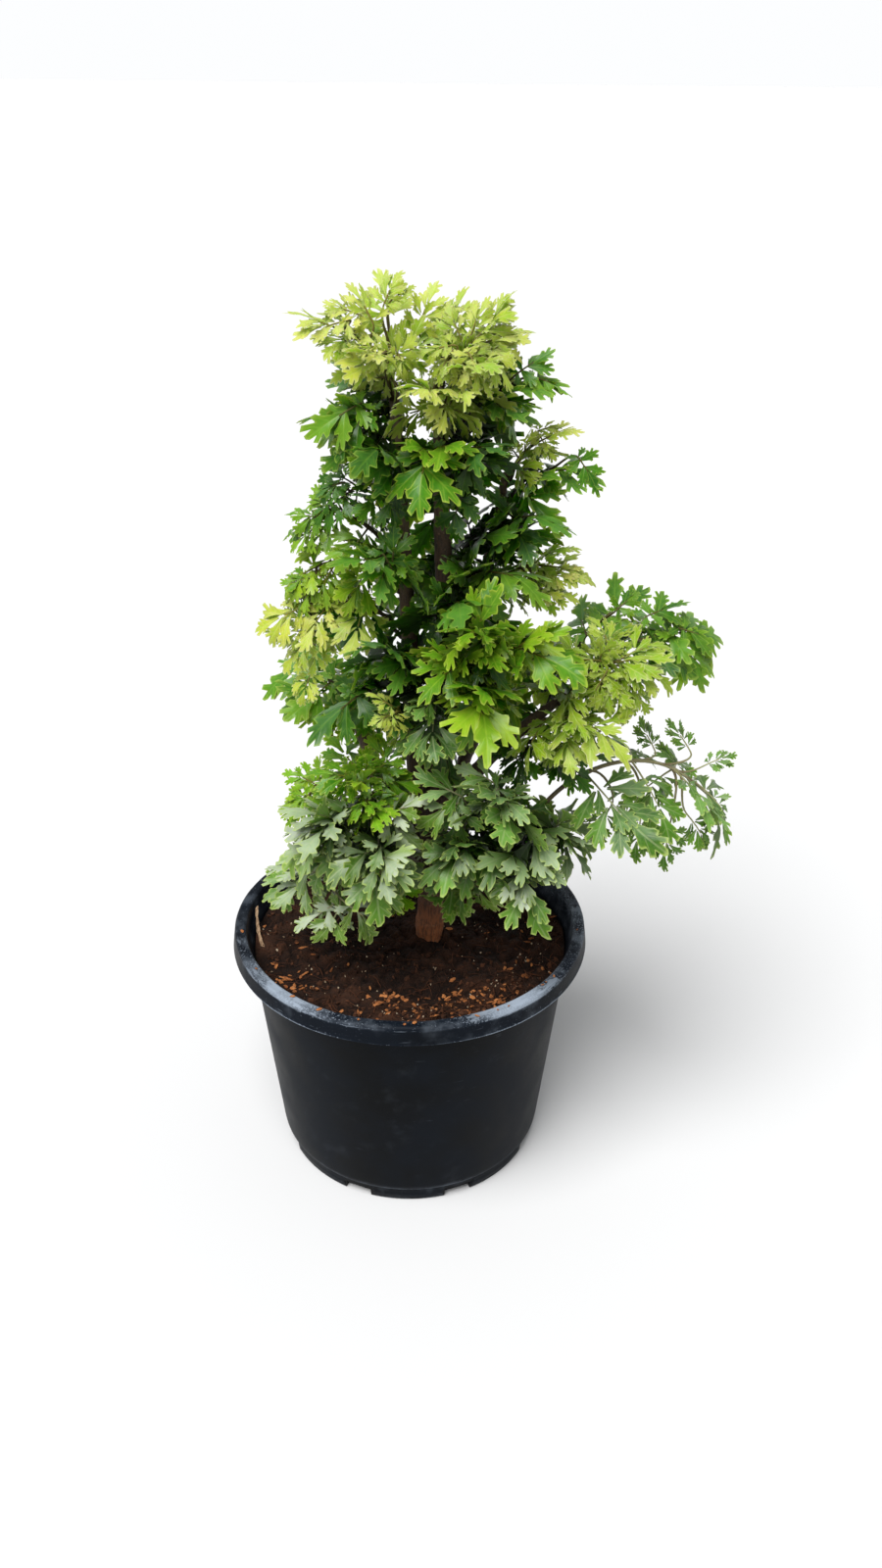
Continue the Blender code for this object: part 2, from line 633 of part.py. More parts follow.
def settle_pinnae(ribs, rib_trees, fixed):
    """Gives each rib its side branches. One that would cross something is bent, then made smaller, then left out."""
    random = np.random.default_rng(SEED)
    placed = []
    kept = [[] for _ in ribs]
    for order in range(1 + 2 * max(r.frond.pairs for r in ribs)):
        for index, rib in enumerate(ribs):
            slots = slots_of(rib.frond)
            if order >= len(slots):
                continue
            pair, side, share = slots[order]
            trim = random.uniform(-0.10, 0.10, len(LOBES))
            lean = random.uniform(-6, 6)
            others = fixed + [t for k, t in enumerate(rib_trees) if k != index] + placed
            pinna = clear_pinna(rib, pair, side, share, trim, lean, others)
            if pinna:
                kept[index].append(pinna)
                placed.append(pinna_tree(pinna, rib, 0.0002))
    return kept


def clear_pinna(rib, pair, side, share, trim, lean, others):
    """The first size and pitch at which a side branch crosses nothing, or None."""
    row = rib.roots[pair] if side else len(rib.points) - 1
    droop = PINNA_DROOP if side else 0
    angle = PINNA_ANGLES[rib.frond.pairs][pair or 0]
    for size, turn, bend in itertools.product(SIZES_TRIED, TURNS_TRIED, BENDS_TRIED):
        length = rib.frond.leaf * share * size
        pinna = pinna_of(rib, row, side, length, angle + turn, lean + bend - droop, trim)
        tree = pinna_tree(pinna, rib)
        if not any(tree.overlap(other) for other in others):
            return pinna
    return None


def tree_of(obj):
    """A search tree of an object's mesh."""
    return BVHTree.FromPolygons([tuple(v.co) for v in obj.data.vertices], [tuple(p.vertices) for p in obj.data.polygons])


def build_fronds(fixed):
    """One solid for each frond: its ribbon of a rib and its leafy side branches, joined along shared edges."""
    ribs = [rib_of(frond, fixed[-1]) for frond in FRONDS]
    kept = settle_pinnae(ribs, [rib_sheet(rib).tree() for rib in ribs], fixed)
    for rib, pinnae in zip(ribs, kept):
        sheet = rib_sheet(rib)
        for pinna in pinnae:
            add_pinna(sheet, pinna, pinna.roots)
        vertices, faces = sheet.solid()
        new_object("frond_" + rib.frond.name, vertices, faces, rib.frond.tint)


def main():
    for obj in list(bpy.data.objects):
        bpy.data.objects.remove(obj)
    pot = build_pot()
    soil = build_soil()
    stems = build_stems()
    build_fronds([tree_of(pot), tree_of(soil), tree_of(stems)])


main()
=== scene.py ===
"""The looks of a ming aralia in a black nursery pot: pot, potting mix, woody stems and finely cut fronds.

Metres, +Z up, the front of the plant faces -Y. Angles are in degrees unless a name says otherwise:
azimuth 0 points along +X (right), 90 to the back, 180 left and 270 to the front.
"""

import logging
import math
from dataclasses import dataclass, field
from enum import Enum
from itertools import product
from typing import Any

import bmesh
import bpy
import numpy as np
from mathutils import Matrix, Vector


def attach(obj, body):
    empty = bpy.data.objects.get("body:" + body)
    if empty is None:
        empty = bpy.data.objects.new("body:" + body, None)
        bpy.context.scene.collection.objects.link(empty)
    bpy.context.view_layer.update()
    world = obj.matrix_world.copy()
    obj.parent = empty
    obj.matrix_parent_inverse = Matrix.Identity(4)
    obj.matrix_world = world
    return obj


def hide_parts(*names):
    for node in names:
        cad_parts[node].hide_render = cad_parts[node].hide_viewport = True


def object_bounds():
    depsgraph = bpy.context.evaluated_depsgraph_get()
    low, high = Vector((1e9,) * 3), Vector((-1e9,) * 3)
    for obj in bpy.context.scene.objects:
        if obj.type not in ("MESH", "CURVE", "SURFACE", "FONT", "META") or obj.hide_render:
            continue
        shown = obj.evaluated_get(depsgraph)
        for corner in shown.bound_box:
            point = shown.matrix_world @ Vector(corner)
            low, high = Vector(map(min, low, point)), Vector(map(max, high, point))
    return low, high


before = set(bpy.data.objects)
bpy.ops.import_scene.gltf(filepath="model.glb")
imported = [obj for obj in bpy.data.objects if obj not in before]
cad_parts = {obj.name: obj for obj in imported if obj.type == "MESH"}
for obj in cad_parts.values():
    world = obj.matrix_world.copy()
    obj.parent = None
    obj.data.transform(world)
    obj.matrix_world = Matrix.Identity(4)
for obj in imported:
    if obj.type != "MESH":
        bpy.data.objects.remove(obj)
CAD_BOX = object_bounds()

Array = np.ndarray
Colour = tuple[float, float, float]
Pair = tuple[float, float]
Row = tuple[float, float, float, float]
Random = np.random.Generator
SprayRow = tuple[float, int, int, int, int, int, int]
Material = bpy.types.Material
Mesh = bpy.types.Mesh
Piece = bpy.types.Object
Socket = bpy.types.NodeSocket
Tree = bpy.types.NodeTree

log = logging.getLogger("ming_aralia")
SEED = 11
LIGHT_SHARE = 0.52


class Tint(Enum):
    """The foliage colours, from young growth at the top to old leaves low down.

    The value is the record's slot.
    """

    LIME = "leaf_lime"
    BRIGHT = "leaf_bright"
    MID = "leaf_mid"
    DEEP = "leaf_deep"
    SILVER = "leaf_silver"


def linear(colour: Colour) -> Colour:
    """Turns a screen colour, 0 to 255 each, into the linear colour that shaders take, 0 to 1 each."""
    return tuple((c / 255 / 12.92) if c <= 10.3 else ((c / 255 + 0.055) / 1.055) ** 2.4 for c in colour)


def pigment(colour: Colour) -> Colour:
    """The colour that a surface needs to show as a screen colour here.

    The light falls about twice as strongly as the pale floor shows, so the linear colour is scaled down.
    """
    return tuple(LIGHT_SHARE * c for c in linear(colour))


def unit(vectors: Array) -> Array:
    """Scales vectors along the last axis to length 1."""
    return vectors / np.maximum(np.linalg.norm(vectors, axis=-1, keepdims=True), 1e-12)


def swing(first: Array, second: Array, degrees: float) -> tuple[Array, Array]:
    """Turns two directions that are square to each other in their own plane, the first toward the second."""
    c, s = math.cos(math.radians(degrees)), math.sin(math.radians(degrees))
    return first * c + second * s, second * c - first * s


def smooth_step(value: Array, low: float, high: float) -> Array:
    """An S curve from 0 at low to 1 at high: t squared times (3 - 2t)."""
    t = np.clip((value - low) / (high - low), 0, 1)
    return t * t * (3 - 2 * t)


def spline(points: Array, count: int) -> Array:
    """A smooth curve through rows of numbers (Catmull-Rom).

    Args:
        points: the rows that the curve runs through.
        count: how many rows to read from it, evenly in its parameter.

    Returns:
        The rows read.
    """
    ends = np.asarray(points, float)
    ends = np.vstack([2 * ends[0] - ends[1], ends, 2 * ends[-1] - ends[-2]])
    along = np.linspace(0, len(points) - 1, count)
    first = np.minimum(along.astype(int), len(points) - 2)
    f = (along - first)[:, None]
    a, b, c, d = ends[first], ends[first + 1], ends[first + 2], ends[first + 3]
    return 0.5 * (2 * b + (c - a) * f + (2 * a - 5 * b + 4 * c - d) * f**2 + (3 * b - a - 3 * c + d) * f**3)


def waves(points: Array, scale: float, seed: int, count: int = 14) -> Array:
    """A smooth random field: the mean of sine waves that run in random directions.

    Args:
        points: (..., 3) places.
        scale: waves per metre, in radians.
        seed: which field.
        count: how many waves.

    Returns:
        Values of about -1 to 1, one a place.
    """
    random = np.random.default_rng(seed)
    ways = unit(random.normal(size=(count, 3))) * scale * random.uniform(0.6, 1.6, (count, 1))
    return np.sin(points @ ways.T + random.uniform(0, 6.28, count)).sum(-1) * math.sqrt(2 / count) * 0.7


def round_ring(turn: Array) -> Array:
    """Places on a circle of radius 1 round the z axis, at angles in radians."""
    return np.stack([np.cos(turn), np.sin(turn), 0 * turn], -1)


def whole_turn(count: int) -> Array:
    """Angles in radians, count of them, spread evenly over one turn."""
    return np.arange(count) * 2 * math.pi / count


def ring_faces(rows: int, sides: int) -> tuple[Array, Array]:
    """Faces of a closed tube of rings whose points are numbered ring by ring.

    Args:
        rows: how many rings.
        sides: points in a ring.

    Returns:
        The quads between the rings, and the triangles that fan over both ends.
    """
    row, column = np.meshgrid(np.arange(rows - 1), np.arange(sides), indexing="ij")
    here, right = row * sides + column, row * sides + (column + 1) % sides
    k = np.arange(1, sides - 1)
    first, last = np.stack([0 * k, k + 1, k], -1), np.stack([0 * k, k, k + 1], -1) + (rows - 1) * sides
    return np.stack([here, right, right + sides, here + sides], -1).reshape(-1, 4), np.vstack([first, last])


def mesh_rows(mesh: Mesh, kind: str = "co") -> Array:
    """The places (co) or the normals (normal) of a mesh's points, one row each."""
    held = np.zeros(len(mesh.vertices) * 3, np.float32)
    mesh.vertices.foreach_get(kind, held)
    return held.reshape(-1, 3)


def write_values(mesh: Mesh, name: str, values: Array) -> None:
    """Writes a named value at each of a mesh's points."""
    mesh.attributes.new(name, "FLOAT", "POINT").data.foreach_set("value", values.astype(np.float32))


def apply_modifiers(piece: Piece) -> None:
    """Puts what a piece's modifiers make in the place of its mesh."""
    mesh = bpy.data.meshes.new_from_object(piece.evaluated_get(bpy.context.evaluated_depsgraph_get()))
    piece.modifiers.clear()
    piece.data = mesh


class Skin:
    """Collects surfaces into one mesh, with named values at its points."""

    def __init__(self, *channels: str) -> None:
        """Starts an empty mesh whose points carry the named values."""
        self.points: list[Array] = []
        self.quads: list[Array] = []
        self.triangles: list[Array] = []
        self.values: dict[str, list[Array]] = {name: [] for name in channels}
        self.count = 0

    def add(self, points: Array, quads: Array, triangles: Array | None = None, **values: Any) -> None:
        """Adds one surface, or many copies of one.

        Args:
            points: (n, 3), or (copies, n, 3).
            quads: (m, 4) point numbers within one copy.
            triangles: (k, 3) point numbers within one copy.
            values: for each channel a number, or numbers in the shape of the points.
        """
        points = np.asarray(points, float)
        copies, size = (points.shape[0], points.shape[1]) if points.ndim == 3 else (1, len(points))
        starts = self.count + size * np.arange(copies)[:, None, None]
        self.quads.append((np.asarray(quads) + starts).reshape(-1, 4))
        if triangles is not None:
            self.triangles.append((np.asarray(triangles) + starts).reshape(-1, 3))
        self.points.append(points.reshape(-1, 3))
        for name, held in self.values.items():
            held.append(np.broadcast_to(values.get(name, 0.0), points.shape[:-1]).reshape(-1))
        self.count += copies * size

    def add_tube(self, points: Array, rows: int, sides: int, **values: Any) -> None:
        """Adds a closed tube of rings, or many copies of one.

        Args:
            points: (rows * sides, 3) or (copies, rows * sides, 3), ring by ring.
            rows: how many rings.
            sides: points in a ring.
            values: for each channel a number, or numbers in the shape of the points.
        """
        self.add(points, *ring_faces(rows, sides), **values)

    def build(self, name: str, material: Material, sharp: float = 60.0) -> Piece:
        """Makes the Blender object.

        Args:
            name: the piece's name.
            material: its finish.
            sharp: edges that turn by more than this stay crisp.

        Returns:
            The object, at the origin, with its place in its mesh.
        """
        points = np.vstack(self.points)
        quads = np.vstack(self.quads)
        triangles = np.vstack(self.triangles) if self.triangles else np.zeros((0, 3), int)
        mesh = bpy.data.meshes.new(name)
        mesh.vertices.add(len(points))
        mesh.vertices.foreach_set("co", points.astype(np.float32).ravel())
        mesh.loops.add(quads.size + triangles.size)
        corners = np.concatenate([quads.ravel(), triangles.ravel()])
        mesh.loops.foreach_set("vertex_index", corners.astype(np.int32))
        mesh.polygons.add(len(quads) + len(triangles))
        starts = np.concatenate([4 * np.arange(len(quads)), quads.size + 3 * np.arange(len(triangles))])
        mesh.polygons.foreach_set("loop_start", starts.astype(np.int32))
        mesh.update(calc_edges=True)
        for channel, held in self.values.items():
            write_values(mesh, channel, np.concatenate(held))
        mesh.validate()
        mesh.shade_smooth()
        mesh.set_sharp_from_angle(angle=math.radians(sharp))
        mesh.materials.append(material)
        obj = bpy.data.objects.new(name, mesh)
        bpy.context.scene.collection.objects.link(obj)
        return obj


def tube(path: Array, radius: Array, side: Array, sides: int) -> Array:
    """Rings along paths, at path + radius * (cos(turn) * side + sin(turn) * up), with up square to both.

    Args:
        path: (..., rows, 3) centres.
        radius: (..., rows) radii.
        side: (..., rows, 3) directions that aren't along the path.
        sides: points in a ring.

    Returns:
        (..., rows * sides, 3) points.
    """
    along = unit(np.gradient(path, axis=-2))
    side = unit(side - along * (side * along).sum(-1, keepdims=True))
    up = np.cross(along, side)
    turn = whole_turn(sides)
    ring = np.cos(turn)[:, None] * side[..., None, :] + np.sin(turn)[:, None] * up[..., None, :]
    points = path[..., None, :] + radius[..., None, None] * ring
    return points.reshape(*path.shape[:-2], -1, 3)


class Graph:
    """A node tree being laid out, with short calls for the nodes that the finishes use."""

    def __init__(self, tree: Tree) -> None:
        """Takes the tree to add to."""
        self.tree = tree

    def add(self, kind: str, inputs: dict[str, Any] | None = None, **settings: Any) -> bpy.types.Node:
        """Adds a node.

        Args:
            kind: the node's type.
            inputs: socket name or number to a value or an output to join to it.
            settings: the node's own properties.

        Returns:
            The node.
        """
        node = self.tree.nodes.new(kind)
        for key, value in settings.items():
            setattr(node, key, value)
        self.dress(node, inputs or {})
        return node

    def feed(self, socket: Socket, value: Any) -> None:
        """Joins an output to a socket, or sets the socket's own value."""
        if isinstance(value, Socket):
            self.tree.links.new(value, socket)
        elif isinstance(value, tuple) and socket.type == "RGBA":
            socket.default_value = (*value, 1.0)
        else:
            socket.default_value = value

    def math(self, operation: str, first: Any, second: Any = 0.0, clamp: bool = False) -> Socket:
        """One piece of arithmetic on two values."""
        node = self.add("ShaderNodeMath", {0: first, 1: second}, operation=operation, use_clamp=clamp)
        return node.outputs[0]

    def times(self, first: Any, second: Any, clamp: bool = False) -> Socket:
        """The product of two values."""
        return self.math("MULTIPLY", first, second, clamp)

    def plus(self, first: Any, second: Any, clamp: bool = False) -> Socket:
        """The sum of two values."""
        return self.math("ADD", first, second, clamp)

    def step(self, value: Any, low: float, high: float) -> Socket:
        """An S curve from 0 at low to 1 at high."""
        inputs = {"Value": value, "From Min": low, "From Max": high}
        return self.add("ShaderNodeMapRange", inputs, interpolation_type="SMOOTHSTEP").outputs[0]

    def between(self, value: Any, low: float, high: float) -> Socket:
        """Spreads a 0 to 1 value over low to high."""
        return self.add("ShaderNodeMapRange", {"Value": value, "To Min": low, "To Max": high}).outputs[0]

    def mix(self, factor: Any, first: Any, second: Any, blend: str = "MIX") -> Socket:
        """Mixes two colours."""
        node = self.add("ShaderNodeMix", data_type="RGBA", blend_type=blend)
        self.feed(node.inputs[0], factor)
        self.feed(node.inputs[6], first)
        self.feed(node.inputs[7], second)
        return node.outputs[2]

    def value(self, name: str) -> Socket:
        """A named value at the mesh's points."""
        return self.add("ShaderNodeAttribute", attribute_name=name).outputs["Fac"]

    def place(self) -> Socket:
        """The object's own coordinates."""
        return self.add("ShaderNodeTexCoord").outputs["Object"]

    def noise(self, scale: float, detail: float = 3.0, where: Any = None) -> Socket:
        """Soft noise, 0 to 1, in waves per metre."""
        inputs = {"Vector": where or self.place(), "Scale": scale, "Detail": detail, "Roughness": 0.55}
        return self.add("ShaderNodeTexNoise", inputs).outputs["Fac"]

    def stretched(self, scale: tuple[float, float, float], detail: float, where: Any = None) -> Socket:
        """Noise with its own waves per metre along each axis."""
        vector = self.add("ShaderNodeMapping", {"Vector": where or self.place(), "Scale": scale}).outputs[0]
        inputs = {"Vector": vector, "Scale": 1.0, "Detail": detail}
        return self.add("ShaderNodeTexNoise", inputs).outputs["Fac"]

    def bump(self, height: Any, strength: float, distance: float) -> Socket:
        """The normal of a surface with small relief."""
        inputs = {"Height": height, "Strength": strength, "Distance": distance}
        return self.add("ShaderNodeBump", inputs).outputs[0]

    def use(self, group: Tree, inputs: dict[str, Any]) -> Any:
        """Places a shared node group and gives its outputs."""
        return self.add("ShaderNodeGroup", inputs, node_tree=group).outputs

    def dress(self, node: bpy.types.Node, inputs: dict[Any, Any]) -> None:
        """Feeds several of a node's sockets."""
        for key, value in inputs.items():
            self.feed(node.inputs[key], value)


def new_group(name: str, inputs: dict[str, Any], outputs: dict[str, str]) -> tuple[Graph, Any, Any]:
    """Starts a shader node group.

    Args:
        name: the group's name.
        inputs: socket name to its default, a number or a colour.
        outputs: socket name to its type, Float or Color.

    Returns:
        Its graph, the sockets that give its inputs, and those that take its outputs.
    """
    tree = bpy.data.node_groups.new(name, "ShaderNodeTree")
    for key, value in inputs.items():
        kind = "NodeSocketColor" if isinstance(value, tuple) else "NodeSocketFloat"
        socket = tree.interface.new_socket(key, in_out="INPUT", socket_type=kind)
        socket.default_value = (*value, 1.0) if isinstance(value, tuple) else value
    for key, kind in outputs.items():
        tree.interface.new_socket(key, in_out="OUTPUT", socket_type="NodeSocket" + kind)
    graph = Graph(tree)
    return graph, graph.add("NodeGroupInput").outputs, graph.add("NodeGroupOutput").inputs


def mottle_group() -> Tree:
    """Two sizes of soft blotches, for anything that isn't one even colour.

    Outputs Blotch and Grain, 0 to 1.
    """
    scales = {"Blotch Scale": 30.0, "Grain Scale": 400.0}
    graph, given, out = new_group("mottle", scales, {"Blotch": "Float", "Grain": "Float"})
    where = graph.place()
    for key, low, high in (("Blotch", 0.30, 0.70), ("Grain", 0.25, 0.75)):
        raw = graph.noise(given[key + " Scale"], 3.0, where)
        graph.feed(out[key], graph.step(raw, low, high))
    return graph.tree


def dust_group() -> Tree:
    """Pale dust and scuffs: specks and short scratches, more of them where Wear is high.

    Output Mask, 0 to 1.
    """
    graph, given, out = new_group("dust", {"Wear": 0.2}, {"Mask": "Float"})
    where, wear = graph.place(), given["Wear"]
    cloud = graph.noise(60.0, 4.0, where)
    specks = graph.noise(900.0, 2.0, where)
    scratches = graph.stretched((60.0, 60.0, 700.0), 2.0, where)
    spots = graph.step(graph.plus(specks, graph.times(wear, 0.25)), 0.72, 0.80)
    haze = graph.step(graph.plus(cloud, graph.times(wear, 0.30)), 0.58, 0.86)
    lines = graph.step(graph.plus(scratches, graph.times(wear, 0.18)), 0.72, 0.80)
    marks = graph.math("MAXIMUM", spots, graph.math("MAXIMUM", graph.times(haze, 0.55), lines))
    graph.feed(out["Mask"], marks)
    return graph.tree


# Painted Sheen is a painted pale reflection of the sky on faces that look up; Painted Shade Share sets how
# far places that see little sky are darkened as painted shade.
LEAF_COLOURS = ("Light", "Dark", "Other", "Vein", "Margin", "Under", "Bloom", "Stalk Young", "Stalk Old")
LEAF_SHARES = ("Vein Share", "Margin Share", "Bloom Share", "Deep Share")
# The side veins of a lobe: where each leaves the midvein, and its slope.
SIDE_VEINS = ((0.26, 0.80), (0.52, 0.70))


def leaf_group() -> Tree:
    """What a leaf shows: two greens, pale veins and margins, a paler underside, and its brown or green stalk.

    It reads the blade's own values: out and beside are the place on a lobe in shares of its length, along
    its midvein and to a side of it; edge is 1 on the outline; tone is one number a lobe; under is 1 below;
    stalk is 1 on stalks and age browns them; open is the share of the sky that a place sees, and places that
    see little sky are darkened as painted shade. A side vein runs where beside = slope * (out - fork). Shift
    moves a side branch toward its second colour. Where the surface faces up and sees open sky it carries a
    painted sheen, a pale reflection of the sky. Each lobe is painted darker toward its foot, as shade where
    the lobes meet.
    """
    inputs = {name: (0.5, 0.5, 0.5) for name in LEAF_COLOURS} | dict.fromkeys(LEAF_SHARES, 0.5)
    graph, colour, out = new_group("leaf", inputs, {"Colour": "Color", "Relief": "Float", "Gloss": "Float"})
    outward, beside, edge = graph.value("out"), graph.value("beside"), graph.value("edge")
    under, shift, opening = graph.value("under"), graph.value("shift"), graph.value("open")
    blotch = graph.noise(90.0, 3.0)
    fine = graph.noise(420.0, 2.0)
    shade = graph.times(graph.step(blotch, 0.3, 0.7), 0.28)
    shade = graph.plus(graph.times(graph.value("tone"), 0.72), shade)
    blade = graph.mix(shade, colour["Dark"], graph.mix(shift, colour["Light"], colour["Other"]))
    # Painted shade: each lobe is darkened toward its foot, where the lobes meet.
    blade = graph.mix(graph.times(graph.step(outward, 0.45, 0.0), 0.5), blade, colour["Dark"])
    blade = graph.mix(graph.times(graph.step(fine, 0.35, 0.7), 0.10), blade, colour["Light"])
    # Painted sheen: faces that look up into open sky are paled toward a reflection of the sky, less on
    # shifted branches.
    normal = graph.add("ShaderNodeNewGeometry").outputs["Normal"]
    facing = graph.add("ShaderNodeSeparateXYZ", {0: normal}).outputs["Z"]
    bloom = graph.times(graph.step(facing, 0.35, 0.95), graph.between(blotch, 0.4, 1.2))
    bloom = graph.times(bloom, graph.math("SUBTRACT", 1.0, graph.times(shift, 0.9)))
    bloom = graph.times(bloom, graph.step(opening, 0.10, 0.52))
    blade = graph.mix(graph.times(bloom, colour["Bloom Share"], clamp=True), blade, colour["Bloom"])
    veins = graph.times(graph.step(beside, 0.030, 0.008), graph.between(outward, 1.0, 0.5))
    for fork, slope in SIDE_VEINS:
        line = graph.math("SUBTRACT", beside, graph.times(graph.math("SUBTRACT", outward, fork), slope))
        line = graph.step(graph.math("ABSOLUTE", line), 0.022, 0.005)
        line = graph.times(line, graph.step(outward, fork, fork + 0.08))
        veins = graph.math("MAXIMUM", veins, graph.times(line, 0.5))
    blade = graph.mix(graph.times(veins, colour["Vein Share"]), blade, colour["Vein"])
    rim = graph.times(graph.step(edge, 0.72, 0.96), graph.step(outward, 0.05, 0.4))
    blade = graph.mix(graph.times(rim, colour["Margin Share"]), blade, colour["Margin"])
    blade = graph.mix(graph.times(under, 0.75), blade, colour["Under"])
    wood = graph.mix(graph.value("age"), colour["Stalk Young"], colour["Stalk Old"])
    wood = graph.mix(graph.times(graph.step(fine, 0.45, 0.75), 0.25), wood, colour["Stalk Young"])
    leaf = graph.mix(graph.value("stalk"), blade, wood)
    # Painted shade: where a place sees little sky, its colour is multiplied by the dark green.
    deep = graph.times(graph.step(opening, 0.54, 0.08), colour["Deep Share"])
    shadow = graph.mix(1.0, leaf, colour["Dark"], "MULTIPLY")
    graph.feed(out["Colour"], graph.mix(deep, leaf, shadow))
    graph.feed(out["Relief"], graph.math("SUBTRACT", graph.times(fine, 0.35), graph.times(veins, 0.6)))
    graph.feed(out["Gloss"], graph.plus(graph.times(under, 0.2), graph.times(blotch, 0.2)))
    return graph.tree


@dataclass(frozen=True)
class LeafFinish:
    """The finish of one foliage colour. Colours are screen colours, 0 to 255."""

    light: Colour
    dark: Colour
    other: Colour
    vein: Colour
    margin: Colour
    under: Colour
    stalk_young: Colour
    # A painted pale reflection of the sky, on faces that look up into open sky, and how strongly it shows.
    bloom: Colour = (150, 180, 150)
    stalk_old: Colour = (66, 44, 32)
    vein_share: float = 0.40
    margin_share: float = 0.55
    bloom_share: float = 0.20
    roughness: float = 0.34
    glow: float = 0.15
    # How far places that see little sky are darkened: painted shade.
    deep_share: float = 0.85

    def material(self, name: str, group: Tree) -> Material:
        """Builds the material.

        Args:
            name: its name.
            group: the shared leaf group, whose inputs are named like the fields here.

        Returns:
            The material.
        """
        material, graph, shader = plain_material(name)
        given = {key: getattr(self, key.lower().replace(" ", "_")) for key in LEAF_COLOURS + LEAF_SHARES}
        given.update({key: pigment(given[key]) for key in LEAF_COLOURS})
        leaf = graph.use(group, given)
        graph.dress(shader, {
            "Base Color": leaf["Colour"],
            "Roughness": graph.plus(leaf["Gloss"], self.roughness - 0.1, clamp=True),
            "Normal": graph.bump(leaf["Relief"], 0.35, 0.0006),
            "Specular IOR Level": 0.19,
            "Subsurface Weight": self.glow,
            "Subsurface Radius": (0.5, 1.0, 0.2),
            "Subsurface Scale": 0.004,
        })
        return material


# Each tint's painted sheen is a painted reflection of the sky, and its painted shade share darkens the leaves
# that see little sky.
LEAF_FINISHES = {
    Tint.LIME: LeafFinish(
        (234, 240, 90), (132, 178, 20), (142, 176, 20), (236, 240, 156), (240, 246, 140), (208, 224, 92),
        (150, 138, 60), bloom=(242, 246, 172), vein_share=0.35, margin_share=0.45, bloom_share=0.36,
        roughness=0.42, glow=0.40, deep_share=0.64,
    ),
    Tint.BRIGHT: LeafFinish(
        (128, 188, 22), (44, 116, 4), (188, 216, 48), (176, 208, 62), (198, 224, 66), (136, 178, 50),
        (130, 124, 44), bloom=(166, 208, 90), glow=0.25, bloom_share=0.12, margin_share=0.55, deep_share=0.8,
    ),
    Tint.MID: LeafFinish(
        (90, 156, 18), (24, 84, 4), (148, 194, 40), (148, 186, 62), (166, 204, 66), (110, 154, 50),
        (104, 102, 40), bloom=(150, 196, 118), glow=0.20, bloom_share=0.20, margin_share=0.55,
        deep_share=0.88,
    ),
    Tint.DEEP: LeafFinish(
        (64, 124, 12), (14, 58, 2), (100, 158, 22), (122, 162, 54), (138, 180, 56), (86, 130, 40),
        (80, 72, 30), bloom=(138, 188, 122), bloom_share=0.24, margin_share=0.55, deep_share=0.90,
    ),
    Tint.SILVER: LeafFinish(
        (146, 180, 74), (30, 74, 8), (112, 174, 38), (196, 208, 150), (196, 220, 100), (140, 166, 92),
        (186, 186, 136), bloom=(220, 232, 210), stalk_old=(112, 90, 64), margin_share=0.6, bloom_share=0.94,
        roughness=0.40, deep_share=0.97,
    ),
}


def plain_material(name: str) -> tuple[Material, Graph, bpy.types.Node]:
    """Starts a material.

    Args:
        name: its name.

    Returns:
        The material, its graph and its Principled shader.
    """
    material = bpy.data.materials.new(name)
    material.use_nodes = True
    graph = Graph(material.node_tree)
    return material, graph, material.node_tree.nodes["Principled BSDF"]


@dataclass(frozen=True)
class PlasticFinish:
    """Moulded black plastic: nearly even, a soft sheen, dusty and scuffed where it is handled.

    The lip and its edges also carry a painted highlight.
    """

    body: Colour = (3, 4, 5)
    haze: Colour = (24, 33, 46)
    dust: Colour = (138, 148, 160)
    roughness: float = 0.40

    def material(self, mottle: Tree, dust: Tree) -> Material:
        """Builds the material; the mesh's wear-and-highlight value is high on the lip and along its edges.

        There it brings dust and scuffs, and it also paints a pale highlight.
        """
        material, graph, shader = plain_material("pot_plastic")
        body, haze, pale = (linear(colour) for colour in (self.body, self.haze, self.dust))
        wear = graph.value("wear")
        soft = graph.use(mottle, {"Blotch Scale": 22.0, "Grain Scale": 1500.0})
        marks = graph.use(dust, {"Wear": wear})
        colour = graph.mix(graph.times(soft["Blotch"], 0.18), body, haze)
        # The lip and edges, where the value is high, turn toward the haze colour: partly scuffing, partly
        # painted highlight.
        colour = graph.mix(graph.times(wear, 0.45), colour, haze)
        share = graph.times(marks["Mask"], graph.between(wear, 0.04, 0.60))
        colour = graph.mix(share, colour, pale)
        rough = graph.plus(graph.times(soft["Blotch"], 0.12), self.roughness)
        graph.dress(shader, {
            # Painted highlight: the lip top and the sharp lip and foot edges are paled toward the dust
            # colour.
            "Base Color": graph.mix(graph.times(graph.step(wear, 0.76, 0.98), 0.5), colour, pale),
            "Roughness": graph.plus(rough, graph.times(share, 0.4), clamp=True),
            "Normal": graph.bump(soft["Grain"], 0.12, 0.0003),
            "Specular IOR Level": 0.06,
        })
        return material


@dataclass(frozen=True)
class EarthFinish:
    """Dark moist potting mix, and with other colours the chips and fibres in it."""

    name: str
    light: Colour
    dark: Colour
    roughness: float = 0.9
    grain: float = 700.0

    def material(self, mottle: Tree) -> Material:
        """Builds the material; the mesh's tone value picks between its two colours."""
        material, graph, shader = plain_material(self.name)
        soft = graph.use(mottle, {"Blotch Scale": 90.0, "Grain Scale": self.grain})
        shade = graph.plus(graph.times(graph.value("tone"), 0.6), graph.times(soft["Grain"], 0.4), clamp=True)
        shade = graph.times(shade, graph.between(soft["Blotch"], 0.55, 1.0))
        graph.dress(shader, {
            "Base Color": graph.mix(shade, linear(self.dark), linear(self.light)),
            "Roughness": self.roughness,
            "Specular IOR Level": 0.15,
            "Normal": graph.bump(soft["Grain"], 0.7, 0.0012),
        })
        return material


